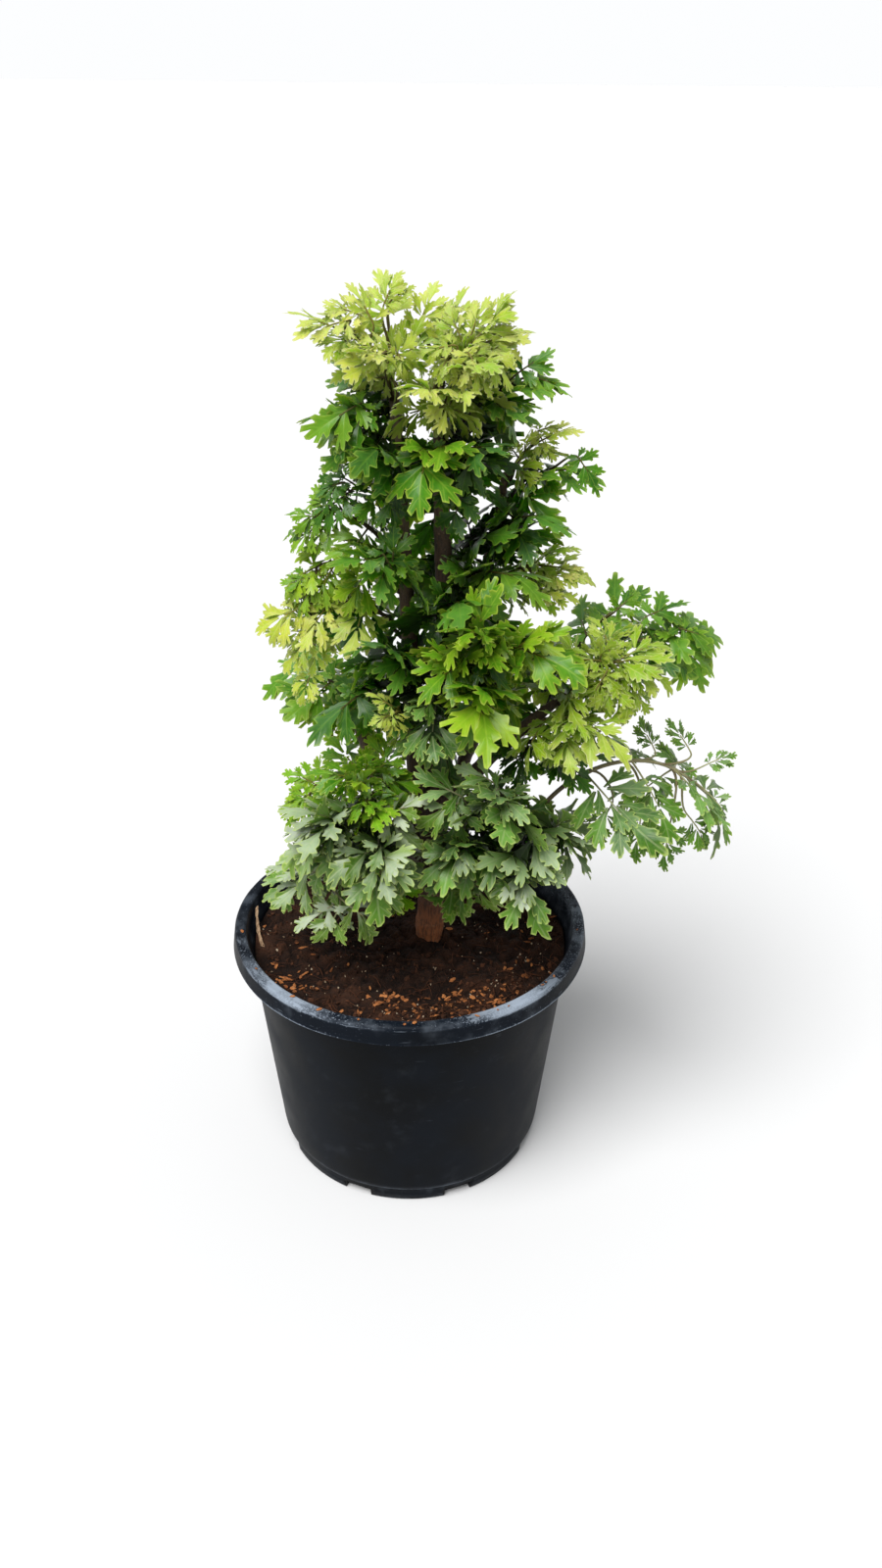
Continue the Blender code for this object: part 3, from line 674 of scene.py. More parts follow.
@dataclass(frozen=True)
class BarkFinish:
    """Thin brown bark: greener on young wood, paler and rusty at the trunk's foot, with raised pores.

    The crack colour is linear already.
    """

    young: Colour = (74, 62, 36)
    old: Colour = (56, 36, 24)
    foot: Colour = (146, 86, 46)
    pore: Colour = (122, 96, 70)
    crack: Colour = (0.012, 0.008, 0.005)

    def material(self, mottle: Tree) -> Material:
        """Builds it; the mesh's age value is 0 on young wood and 1 on old, foot is 1 near the soil."""
        material, graph, shader = plain_material("bark")
        soft = graph.use(mottle, {"Blotch Scale": 70.0, "Grain Scale": 900.0})
        cracks = graph.stretched((900.0, 900.0, 140.0), 4.0)
        colour = graph.mix(graph.value("age"), linear(self.young), linear(self.old))
        colour = graph.mix(graph.value("foot"), colour, linear(self.foot))
        colour = graph.mix(graph.times(graph.step(cracks, 0.55, 0.38), 0.6), colour, self.crack)
        pores = graph.add("ShaderNodeTexVoronoi", {"Vector": graph.place(), "Scale": 260.0})
        spots = graph.step(pores.outputs["Distance"], 0.22, 0.12)
        spots = graph.times(spots, graph.step(soft["Blotch"], 0.4, 0.8))
        graph.dress(shader, {
            "Base Color": graph.mix(graph.times(spots, 0.6), colour, linear(self.pore)),
            "Roughness": graph.between(soft["Grain"], 0.65, 0.9),
            "Normal": graph.bump(graph.plus(cracks, graph.times(spots, 0.5)), 0.6, 0.001),
        })
        return material


class Finishes:
    """Every material, built once."""

    def __init__(self) -> None:
        """Builds the shared groups, then the materials."""
        mottle, leaf = mottle_group(), leaf_group()
        self.plastic = PlasticFinish().material(mottle, dust_group())
        self.soil = EarthFinish("soil_mix", (62, 37, 23), (6, 3, 2)).material(mottle)
        self.chips = EarthFinish("coir_chip", (198, 130, 76), (104, 56, 28), 0.8, 1200.0).material(mottle)
        self.crumbs = EarthFinish("bark_crumb", (96, 60, 40), (16, 9, 6), 0.85, 1500.0).material(mottle)
        self.fibres = EarthFinish("coir_fibre", (104, 62, 38), (30, 16, 10), 0.8, 1500.0).material(mottle)
        self.grit = EarthFinish("pale_grit", (226, 210, 184), (150, 122, 92), 0.7, 2500.0).material(mottle)
        self.sliver = EarthFinish("dry_sliver", (178, 150, 120), (110, 84, 62), 0.85, 900.0).material(mottle)
        self.bark = BarkFinish().material(mottle)
        self.leaves = {tint: finish.material(tint.value, leaf) for tint, finish in LEAF_FINISHES.items()}


def seat(piece: Piece, slot: str, *nodes: str) -> None:
    """Puts a piece on the model.

    Args:
        piece: the object.
        slot: the record's material slot for its finish; not used.
        nodes: the CAD nodes that it stands for.
    """
    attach(piece, "root")
    if nodes:
        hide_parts(*nodes)
    log.info("%s: %d points", piece.name, len(piece.data.vertices))


@dataclass
class Pot:
    """The moulded nursery pot: a thin wall with a rolled lip, a stepped foot and drain slots."""

    height: float = 0.182
    lip_radius: float = 0.125
    lip_flare: float = 0.0014
    lip_drop: float = 0.014
    wall_top: float = 0.1145
    wall_foot: float = 0.0975
    foot_radius: float = 0.095
    foot_height: float = 0.012
    wall: float = 0.0022
    floor: float = 0.003
    sides: int = 160
    drains: int = 8
    drain_start: float = 21.0
    drain_size: tuple[float, float, float] = (0.012, 0.020, 0.014)

    def profile(self) -> Array:
        """The wall's section as (radius, height, wear and highlight) rows, up the outside and down the
        inside.

        The lip's top is two quarter rounds with a shallow groove between; the ledges are small steps with
        soft edges. The third value is high on the lip and on the ledges' edges, where it brings dust and
        scuffs and also a painted highlight.
        """
        top, ledge, foot, outer = self.height, self.foot_height, self.foot_radius, self.lip_radius
        lip_foot, flare, out_round, in_round = top - self.lip_drop, outer + self.lip_flare, 0.0028, 0.0022
        inner_top, inner_foot, low = self.wall_top - self.wall, self.wall_foot - self.wall, self.floor + 0.010
        rows = [
            (0.0004, 0, 0.1), (foot - 0.030, 0, 0.1), (foot - 0.002, 0, 0.4), (foot - 0.0008, 0.0008, 0.5),
            (foot - 0.0002, foot * 0.06, 0.25), (foot, ledge - 0.0008, 0.3), (foot + 0.0004, ledge, 0.8),
            (self.wall_foot - 0.0006, ledge + 0.0006, 1.0), (self.wall_foot, ledge + 0.0016, 0.5),
        ]
        for share in np.linspace(0.03, 0.97, 16):
            radius = self.wall_foot + (self.wall_top - self.wall_foot) * share
            rows.append((radius, ledge + (lip_foot - ledge) * share, 0.05))
        rows += [
            (self.wall_top, lip_foot - 0.0012, 0.1), (self.wall_top + 0.0006, lip_foot - 0.0004, 0.15),
            (flare - 0.0009, lip_foot - 0.0001, 1.0), (flare, lip_foot + 0.0006, 1.0),
            (flare - 0.0003, lip_foot + 0.0016, 0.35), (outer + 0.0008, lip_foot + self.lip_drop * 0.4, 0.2),
            (outer + 0.0002, lip_foot + self.lip_drop * 0.7, 0.3),
        ]
        turns = [(math.cos(turn), math.sin(turn)) for turn in np.radians(np.linspace(0, 90, 6))]
        rows += [(outer - out_round + out_round * c, top - out_round + out_round * s, 0.84) for c, s in turns]
        rows.append((outer - 0.0046, top - 0.0004, 0.85))
        rows += [(outer - 0.0063 - in_round * s, top - in_round + in_round * c, 0.88) for c, s in turns]
        rows += [
            (outer - 0.0092, lip_foot + 0.004, 0.6), (inner_top + 0.0012, lip_foot - 0.001, 0.4),
            (inner_top, lip_foot - 0.003, 0.3),
        ]
        for share in np.linspace(0.12, 0.88, 5):
            height = lip_foot - 0.003 + (low - lip_foot + 0.003) * share
            rows.append((inner_top + (inner_foot - inner_top) * share, height, 0.1))
        inner = foot - self.wall - 0.002
        rows += [(inner_foot, low, 0.1), (inner, self.floor, 0.1), (0.0004, self.floor, 0.1)]
        return np.array(rows)

    def surface(self) -> tuple[Array, Array]:
        """Turns the section round the axis, a little out of round and dented where it was handled.

        Returns:
            (rows, sides, 3) points and (rows, sides) values of wear and painted highlight.
        """
        section = self.profile()
        turn = whole_turn(self.sides)
        radius, height = (section[:, k, None] + 0 * turn for k in (0, 1))
        rise = np.clip(height / self.height, 0, 1) ** 2
        wobble = 0.0004 * np.sin(2 * turn + 0.6) + 0.00025 * np.sin(5 * turn)
        radius = radius + rise * wobble * (radius > 0.02)
        points = np.stack([radius * np.cos(turn), radius * np.sin(turn), height], -1)
        lip = smooth_step(height, self.height - 0.006, self.height - 0.001) * (radius > 0.1)
        points[..., 2] -= lip * 0.00035 * np.clip(waves(points, 160.0, 5), 0, 1)
        wear = section[:, 2][:, None] * (0.75 + 0.35 * waves(points, 45.0, 8))
        return points, np.clip(wear, 0, 1)

    def build(self, finish: Material) -> None:
        """Makes the pot, cuts its drain slots and dresses it."""
        points, wear = self.surface()
        quads, triangles = ring_faces(len(points), self.sides)
        skin = Skin("wear")
        skin.add(points.reshape(-1, 3), quads[:, ::-1], triangles[:, ::-1], wear=wear.reshape(-1))
        pot = skin.build("nursery_pot", finish, 50.0)
        self.cut_drains(pot)
        seat(pot, "pot_plastic", "pot")

    def cut_drains(self, pot: Piece) -> None:
        """Cuts the slots through the foot's edge with one Boolean, which is then applied."""
        corners = np.array(list(product((-0.5, 0.5), repeat=3)))
        quads = np.array([(0, 1, 3, 2), (4, 6, 7, 5), (0, 4, 5, 1), (2, 3, 7, 6), (0, 2, 6, 4), (1, 5, 7, 3)])
        cutters = Skin()
        for index in range(self.drains):
            turn = Matrix.Rotation(math.radians(self.drain_start + 360 / self.drains * index), 3, "Z")
            box = corners * self.drain_size + (self.foot_radius, 0, 0)
            cutters.add(box @ np.array(turn).T, quads)
        cutter = cutters.build("drain_cutters", pot.data.materials[0])
        boolean = pot.modifiers.new("drains", "BOOLEAN")
        boolean.operation, boolean.object = "DIFFERENCE", cutter
        apply_modifiers(pot)
        bpy.data.objects.remove(cutter)


@dataclass
class Soil:
    """The potting mix: a lumpy top with coir chips, fibres, pale grit and a dry sliver of wood."""

    pot: Pot
    level: float = 0.166
    swell: float = 0.0016
    rings: int = 130
    sectors: int = 240
    clods: int = 2600
    trunk: Pair = (0.014, 0.0)
    hole: float = 0.0102
    heaps: tuple[Pair, ...] = ((0.054, -0.077), (0.030, -0.077), (-0.012, -0.076), (-0.080, -0.054))
    heap_size: float = 0.007
    well_foot: float = 0.14
    mound: float = 0.003
    mound_reach: float = 0.025
    lump_sink: float = 0.0034
    edge_gap: float = 0.0001
    random: Random = field(default_factory=lambda: np.random.default_rng(SEED + 1))

    def wall_radius(self, height: float | Array) -> float | Array:
        """The pot's inner radius at a height."""
        low, high = self.pot.floor + 0.010, self.pot.height - self.pot.lip_drop - 0.003
        foot, top = self.pot.wall_foot - self.pot.wall, self.pot.wall_top - self.pot.wall
        return foot + (top - foot) * (height - low) / (high - low)

    def base_height(self, x: Array, y: Array) -> Array:
        """The soil's slow swells, as on the plain solid: sines of x and y round the fill level."""
        slow = np.sin(61 * x + 1.1) * np.cos(53 * y - 0.4) + 0.6 * np.sin(119 * y + 37 * x)
        return self.level + self.swell * slow

    def __post_init__(self) -> None:
        """Scatters the round lumps: a place on the top, a radius and a height for each."""
        reach = self.wall_radius(self.level) * np.sqrt(self.random.uniform(0, 1, self.clods))
        turn = self.random.uniform(0, 2 * math.pi, self.clods)
        self.lumps = reach[:, None] * round_ring(turn)[:, :2]
        self.lump_radius = self.random.uniform(0.0010, 0.0052, self.clods)
        self.lump_height = self.lump_radius * self.random.uniform(0.35, 0.85, self.clods)

    def height(self, x: Array, y: Array) -> Array:
        """The top's height: swells, plus the highest lump over each point, plus fine ripples.

        A lump is its height times the square root of 1 minus the squared share of its radius.
        """
        spot = np.stack([x, y], -1).reshape(-1, 2)
        lift = np.zeros(len(spot))
        for chunk in np.array_split(np.arange(len(spot)), 12):
            away = np.linalg.norm(spot[chunk, None] - self.lumps[None], axis=-1) / self.lump_radius
            lift[chunk] = (self.lump_height * np.sqrt(np.clip(1 - away**2, 0, 1))).max(1)
        deep = np.stack([x, y, 0 * x], -1)
        ripple = 0.0007 * waves(deep, 420.0, 21) + 0.0004 * waves(deep, 1300.0, 22)
        cx, cy = self.trunk
        mound = self.mound * np.exp(-((x - cx) ** 2 + (y - cy) ** 2) / self.mound_reach**2)
        return self.base_height(x, y) - self.lump_sink + lift.reshape(x.shape) + ripple + mound

    def build(self, finishes: Finishes) -> None:
        """Makes the mix and everything lying on it."""
        turn = whole_turn(self.sectors)
        circle, trunk = round_ring(turn), np.array([*self.trunk, 0.0])
        share = np.linspace(1, 0, self.rings)[:, None, None]
        top = self.wall_radius(self.level - 0.003) - self.edge_gap
        surface = share * top * circle + (1 - share) * (trunk + self.hole * circle)
        surface[..., 2] = self.height(surface[..., 0], surface[..., 1])
        surface[0, :, 2] = self.level - 0.0035 + 0.0012 * np.sin(7 * turn) + 0.0006 * np.sin(23 * turn)
        floor = self.pot.floor
        rim, foot = self.wall_radius(floor + 0.012) - 0.003, self.pot.foot_radius - 0.008
        skirt = [
            radius * circle + (0, 0, height)
            for radius, height in ((0.0005, floor + 0.0004), (foot, floor + 0.0004), (rim, floor + 0.012))
        ]
        well = trunk + self.hole * circle + (0, 0, self.well_foot)
        rows = np.concatenate([np.stack(skirt), surface, well[None]])
        raised = rows[..., 2] - self.level + 0.0005
        tone = np.clip(0.40 + 0.30 * waves(rows, 260.0, 31) + 170 * raised, 0, 1)
        skin = Skin("tone")
        skin.add_tube(rows.reshape(-1, 3), len(rows), self.sectors, tone=tone.reshape(-1))
        seat(skin.build("potting_mix", finishes.soil, 80.0), "soil", "soil")
        self.fibres(finishes.fibres)
        self.chips(finishes.chips)
        self.specks("pale_grit", finishes.grit, 260, 0.3, 0.0001, (0.00028, 0.0007), (0.7, 1.3), 1.0)
        self.specks("bark_crumbs", finishes.crumbs, 900, 0.25, 0.0002, (0.0005, 0.0019), (0.55, 1.25), 0.8)
        self.sliver(finishes.sliver)

    def scatter(self, count: int, front: float) -> tuple[Array, Array]:
        """Random places on the soil.

        Args:
            count: how many.
            front: 0 spreads them evenly, 1 gathers them near the front edge.

        Returns:
            x and y.
        """
        reach = (self.wall_radius(self.level) - 0.004) * np.sqrt(self.random.uniform(0.04, 1, count))
        turn = self.random.uniform(0, 2 * math.pi, count)
        near = self.random.uniform(0, 1, count) < front
        turn = np.where(near, np.radians(self.random.normal(292, 34, count)), turn)
        reach = np.where(near, self.wall_radius(self.level) - self.random.uniform(0.004, 0.034, count), reach)
        return reach * np.cos(turn), reach * np.sin(turn)

    def fibres(self, finish: Material, count: int = 620) -> None:
        """Coir fibres: thin bent threads, each an arc that lies on the mix and dips in at its ends."""
        x, y = self.scatter(count, 0.35)
        turn = self.random.uniform(0, 2 * math.pi, count)[:, None]
        length = self.random.uniform(0.004, 0.015, count)[:, None]
        bend = self.random.uniform(-0.5, 0.5, count)[:, None]
        at = np.linspace(-0.5, 0.5, 6)[None]
        x = x[:, None] + length * (at * np.cos(turn) - bend * (at**2 - 0.1) * np.sin(turn))
        y = y[:, None] + length * (at * np.sin(turn) + bend * (at**2 - 0.1) * np.cos(turn))
        inside = self.wall_radius(self.level) - 0.0015
        shrink = np.minimum(1, inside / np.maximum(np.hypot(x, y), 1e-6))
        x, y = x * shrink, y * shrink
        rise = self.random.uniform(0.0, 0.0018, count)[:, None] * (1 - (2 * at) ** 2) + 0.0001
        path = np.stack([x, y, self.height(x, y) * 0.4 + self.base_height(x, y) * 0.6 + rise], -1)
        radius = self.random.uniform(0.00014, 0.00034, count)[:, None] * (1.05 - np.abs(at * 1.4))
        side = np.broadcast_to(np.array([0.0, 0.0, 1.0]), path.shape)
        skin = Skin("tone")
        tone = np.broadcast_to(self.random.uniform(0, 1, count)[:, None] ** 2, (count, 6 * 4))
        skin.add_tube(tube(path, radius, side, 4), 6, 4, tone=tone)
        seat(skin.build("coir_fibres", finish, 80.0), "soil")

    def chips(self, finish: Material, count: int = 230, spilled: int = 14, heaped: int = 110) -> None:
        """Coir chips: tilted flakes, many of them in small heaps and a few spilled on the lip."""
        x, y = self.scatter(count, 0.62)
        held = slice(spilled, spilled + heaped)
        centres = np.array(self.heaps)[np.arange(heaped) % len(self.heaps)]
        x[held], y[held] = (centres + self.random.normal(0, self.heap_size, (heaped, 2))).T
        z = self.height(x, y) + 0.0004
        turn = np.radians(self.random.normal(276, 30, spilled))
        reach = self.pot.lip_radius - self.random.uniform(0.0035, 0.0062, spilled)
        x[:spilled], y[:spilled] = reach * np.cos(turn), reach * np.sin(turn)
        z[:spilled] = self.pot.height + 0.0004
        ranges = ((0.0010, 0.0034), (0.0006, 0.0016), (0.0003, 0.0008))
        size = np.stack([self.random.uniform(low, high, count) for low, high in ranges], -1)
        size[:spilled] *= 0.7
        self.flakes("coir_chips", np.stack([x, y, z], -1), size, finish, 0.5)

    def specks(
        self, name: str, finish: Material, count: int, front: float, rise: float, size: Pair, shape: Pair,
        tilt: float,
    ) -> None:
        """Loose crumbs that break up the surface.

        Args:
            name: the piece's name.
            finish: the material.
            count: how many.
            front: how many of them, as a share, gather near the front edge.
            rise: how far their middles lie above the mix.
            size: the least and the largest half size.
            shape: how much each may be stretched along each axis.
            tilt: how far each may lean, in radians.
        """
        x, y = self.scatter(count, front)
        z = self.height(x, y) + rise
        sizes = self.random.uniform(*size, (count, 1)) * self.random.uniform(*shape, (count, 3))
        self.flakes(name, np.stack([x, y, z], -1), sizes, finish, tilt)

    def flakes(self, name: str, places: Array, size: Array, finish: Material, tilt: float) -> None:
        """Closed crumbs: four rings of six corners, jittered, at (n, 3) places and with (n, 3) half sizes."""
        count, ring = len(places), round_ring(np.arange(6) * math.pi / 3)
        levels = ((0.55, -1), (1, -0.35), (1, 0.35), (0.6, 1))
        rows = np.stack([ring * width + (0, 0, height) for width, height in levels])
        shape = rows.reshape(1, -1, 3) * self.random.uniform(0.65, 1.25, (count, 24, 1)) * size[:, None]
        spin = self.random.uniform(0, 2 * math.pi, count)
        lean = self.random.uniform(-tilt, tilt, (count, 2))
        c, s, zero = np.cos(spin), np.sin(spin), 0 * spin
        turned = np.stack([c, -s, zero, s, c, zero, -lean[:, 0], lean[:, 1], zero + 1], -1).reshape(-1, 3, 3)
        points = np.einsum("nij,nkj->nki", turned, shape) + places[:, None]
        skin = Skin("tone")
        tone = np.broadcast_to(self.random.uniform(0, 1, count)[:, None], (count, 24))
        skin.add_tube(points, 4, 6, tone=tone)
        seat(skin.build(name, finish, 40.0), "soil")

    def sliver(self, finish: Material) -> None:
        """A dry strip of wood that leans on the inside of the wall at the left."""
        low, high = np.array([-0.1045, -0.016, 0.165]), np.array([-0.1125, 0.021, 0.1765])
        at = np.linspace(0, 1, 26)
        path = low + (high - low) * at[:, None] + np.array([-0.0015, 0, 0.0]) * np.sin(math.pi * at[:, None])
        width = 0.0019 * (0.8 + 0.25 * np.sin(9 * at + 1) * np.sin(23 * at)) * smooth_step(at, -0.06, 0.03)
        across = unit(np.array([0.55, 0.12, 0.8]))
        facing = unit(np.cross(high - low, across))
        ring = np.array([(1, 0.25), (0.6, 0.45), (-0.6, 0.45), (-1, 0.25)])
        ring = np.vstack([ring, -ring])
        points = path[:, None] + width[:, None, None] * (ring[:, :1] * across + ring[:, 1:] * 0.6 * facing)
        tone = np.repeat(np.clip(0.6 + 0.5 * np.sin(70 * at + 3 * np.sin(19 * at)), 0, 1), 8)
        skin = Skin("tone")
        skin.add_tube(points.reshape(-1, 3), 26, 8, tone=tone)
        seat(skin.build("wood_sliver", finish, 50.0), "soil")


@dataclass
class Wood:
    """The trunk and its branches. Each stem runs through (x, y, z, radius), as in the plain solid."""

    stems: dict[str, tuple[Row, ...]] = field(default_factory=lambda: {
        "main": (
            (0.014, 0, 0.12, 0.0096), (0.014, 0, 0.166, 0.0096), (0.014, 0, 0.174, 0.0104),
            (0.0145, 0, 0.19, 0.0088), (0.017, 0.001, 0.24, 0.0084), (0.021, 0.002, 0.32, 0.0076),
            (0.023, 0, 0.4, 0.0064), (0.02, -0.002, 0.48, 0.005), (0.017, 0, 0.556, 0.003),
        ),
        "left": (
            (0.016, 0.001, 0.232, 0.005), (0.004, -0.005, 0.3, 0.0056), (0, -0.008, 0.4, 0.005),
            (-0.005, -0.006, 0.49, 0.0042), (-0.009, -0.004, 0.56, 0.0028),
        ),
        "right_high": (
            (0.021, 0.001, 0.33, 0.0044), (0.038, 0.013, 0.39, 0.0046), (0.052, 0.018, 0.45, 0.004),
            (0.06, 0.02, 0.5, 0.0022),
        ),
        "right_low": (
            (0.018, 0.001, 0.262, 0.005), (0.042, -0.014, 0.306, 0.005), (0.068, -0.024, 0.34, 0.0044),
            (0.095, -0.03, 0.368, 0.0026),
        ),
        "front_left": (
            (0.015, 0, 0.212, 0.0046), (-0.003, -0.03, 0.25, 0.0046), (-0.016, -0.05, 0.28, 0.004),
            (-0.021, -0.06, 0.302, 0.0022),
        ),
        "front_right": (
            (0.015, 0, 0.222, 0.0046), (0.038, -0.028, 0.252, 0.0046), (0.058, -0.048, 0.274, 0.004),
            (0.066, -0.056, 0.292, 0.0022),
        ),
        "front_mid": (
            (0.022, 0.001, 0.34, 0.004), (0.035, -0.022, 0.376, 0.0042), (0.045, -0.038, 0.396, 0.0036),
            (0.049, -0.046, 0.41, 0.0022),
        ),
        "back_left": (
            (0.015, 0, 0.23, 0.0046), (-0.014, 0.026, 0.272, 0.0046), (-0.034, 0.044, 0.308, 0.004),
            (-0.04, 0.05, 0.336, 0.0022),
        ),
        "back_right": (
            (0.016, 0.001, 0.24, 0.0046), (0.034, 0.028, 0.282, 0.0046), (0.05, 0.046, 0.318, 0.004),
            (0.056, 0.052, 0.346, 0.0022),
        ),
    })
    voxel: float = 0.00095

    def curve(self, name: str, count: int) -> Array:
        """A stem's (x, y, z, radius) rows."""
        return spline(np.array(self.stems[name]), count)

    def at_height(self, name: str, height: float) -> tuple[Array, Array, float]:
        """A stem's centre, direction and radius where it passes a height."""
        curve = self.curve(name, 160)
        row = int(np.clip(np.argmin(np.abs(curve[:, 2] - height)), 1, 158))
        return curve[row, :3], unit(curve[row + 1, :3] - curve[row - 1, :3]), float(curve[row, 3])

    def sweep(self, name: str) -> tuple[Array, int, int]:
        """One stem as rings: its radius swells at leaf scars and at its own foot, and the tip is rounded.

        Returns:
            (rows * sides, 3) points, the rows and the sides.
        """
        rows, sides = (200, 28) if name == "main" else (90, 18)
        curve = self.curve(name, rows)
        run = np.concatenate([[0], np.cumsum(np.linalg.norm(np.diff(curve[:, :3], axis=0), axis=1))])
        spacing = 0.017 if name == "main" else 0.012
        scars = np.exp(-(((run / spacing) % 1 - 0.5) / 0.10) ** 2)
        radius = curve[:, 3] * (1 + 0.07 * scars)
        if name != "main":
            radius = radius * (1 + 0.35 * np.exp(-run / 0.009))
        left = run[-1] - run
        radius = radius * np.sqrt(np.clip(1 - (1 - left / (0.9 * curve[-1, 3])).clip(0, 1) ** 2, 0.003, 1))
        side = np.broadcast_to(np.array([1.0, 0.0, 0.0]), (rows, 3))
        return tube(curve[:, :3], radius, side, sides), rows, sides

    def build(self, finish: Material) -> None:
        """Fuses the stems into one skin with a fine remesh, then roughens it with bark."""
        skin = Skin()
        for name in self.stems:
            skin.add_tube(*self.sweep(name))
        wood = skin.build("woody_stems", finish)
        remesh = wood.modifiers.new("fuse", "REMESH")
        remesh.mode, remesh.voxel_size = "VOXEL", self.voxel
        apply_modifiers(wood)
        mesh = wood.data
        self.drop_crumbs(mesh)
        self.roughen(mesh)
        mesh.materials.clear()
        mesh.materials.append(finish)
        mesh.shade_smooth()
        seat(wood, "bark", "stems")

    def drop_crumbs(self, mesh: Mesh) -> None:
        """Removes the pockets and crumbs that the remesh leaves, so that the one large island stays.

        Every point takes the lowest number that it meets along an edge, until none changes.
        """
        ends = np.zeros(len(mesh.edges) * 2, np.int32)
        mesh.edges.foreach_get("vertices", ends)
        first, second = ends.reshape(-1, 2).T
        island, before = np.arange(len(mesh.vertices)), None
        while before is None or (island != before).any():
            before = island.copy()
            low = np.minimum(island[first], island[second])
            np.minimum.at(island, first, low)
            np.minimum.at(island, second, low)
            island = island[island]
        largest = np.bincount(island).argmax()
        log.info("islands in the wood: %s", np.unique(island, return_counts=True)[1])
        work = bmesh.new()
        work.from_mesh(mesh)
        work.verts.ensure_lookup_table()
        crumbs = [work.verts[k] for k in np.flatnonzero(island != largest)]
        bmesh.ops.delete(work, geom=crumbs, context="VERTS")
        work.to_mesh(mesh)
        work.free()

    def roughen(self, mesh: Mesh) -> None:
        """Moves each point along its normal by long ridges and small bumps, and writes age and foot."""
        points, normals = mesh_rows(mesh).astype(float), mesh_rows(mesh, "normal")
        thick = smooth_step(-points[:, 2], -0.50, -0.18)
        ridges = waves(points * (1, 1, 0.22), 900.0, 41) * 0.00022 + waves(points, 320.0, 42) * 0.00030
        points += normals * (ridges * (0.35 + 0.9 * thick))[:, None]
        mesh.vertices.foreach_set("co", points.astype(np.float32).ravel())
        mesh.update()
        trunk = np.hypot(points[:, 0] - 0.019, points[:, 1]) < 0.022
        age = np.clip(smooth_step(-points[:, 2], -0.56, -0.40) * (0.6 + 0.4 * trunk), 0, 1)
        foot = smooth_step(-points[:, 2], -0.215, -0.172) * 0.8
        write_values(mesh, "age", age)
        write_values(mesh, "foot", foot)


class Habit(Enum):
    """How a side branch carries its leaflets."""

    FULL = "full"
    HAND = "hand"
    SPLAY = "splay"
    FINE = "fine"
    OPEN = "open"


# A side branch's leaflets, in shares of its length: foot, direction from its axis, length, lobes, lift.
LEAFLETS = {
    Habit.FULL: (
        (0.36, 0, 0.66, 1, 0), (0.26, 42, 0.62, 1, 2), (0.23, -42, 0.62, 1, 2), (0.07, 80, 0.54, 1, 6),
        (0.05, -80, 0.54, 1, 6), (-0.03, 122, 0.34, 1, 10), (-0.04, -122, 0.34, 1, 10),
    ),
    Habit.HAND: (
        (0.38, 0, 0.62, 3, 0), (0.23, 46, 0.58, 2, 3), (0.21, -46, 0.58, 2, 3), (0.05, 86, 0.48, 2, 8),
        (0.03, -86, 0.48, 2, 8),
    ),
    Habit.SPLAY: (
        (0.34, 0, 0.70, 1, 0), (0.24, 35, 0.66, 1, 3), (0.21, -37, 0.66, 1, 3), (0.08, 71, 0.58, 1, 6),
        (0.05, -73, 0.58, 1, 6), (-0.02, 113, 0.42, 1, 10), (-0.03, -115, 0.42, 1, 10),
    ),
    Habit.FINE: (
        (0.44, 0, 0.58, 3, 0), (0.30, 42, 0.56, 2, 4), (0.28, -42, 0.56, 2, 4), (0.10, 74, 0.50, 2, 9),
        (0.08, -74, 0.50, 2, 9),
    ),
    Habit.OPEN: (
        (0.56, 0, 0.56, 3, 0), (0.46, 44, 0.52, 2, 4), (0.42, -42, 0.52, 2, 4), (0.24, 60, 0.48, 2, 8),
        (0.21, -58, 0.46, 2, 8),
    ),
}

# How far the side branches of a frond turn from its rib, by its number of pairs, from the foot on.
ANGLES = {1: (64.0,), 2: (88.0, 50.0), 3: (80.0, 66.0, 52.0)}

# A leaflet's lobes, in shares of its length: direction, foot, length.
LOBES = {
    1: ((0, 0.0, 1.0),),
    2: ((10, 0.16, 0.84), (-38, 0.10, 0.68)),
    3: ((0, 0.20, 0.82), (42, 0.10, 0.72), (-42, 0.10, 0.72)),
}

Half = tuple[Pair, ...]


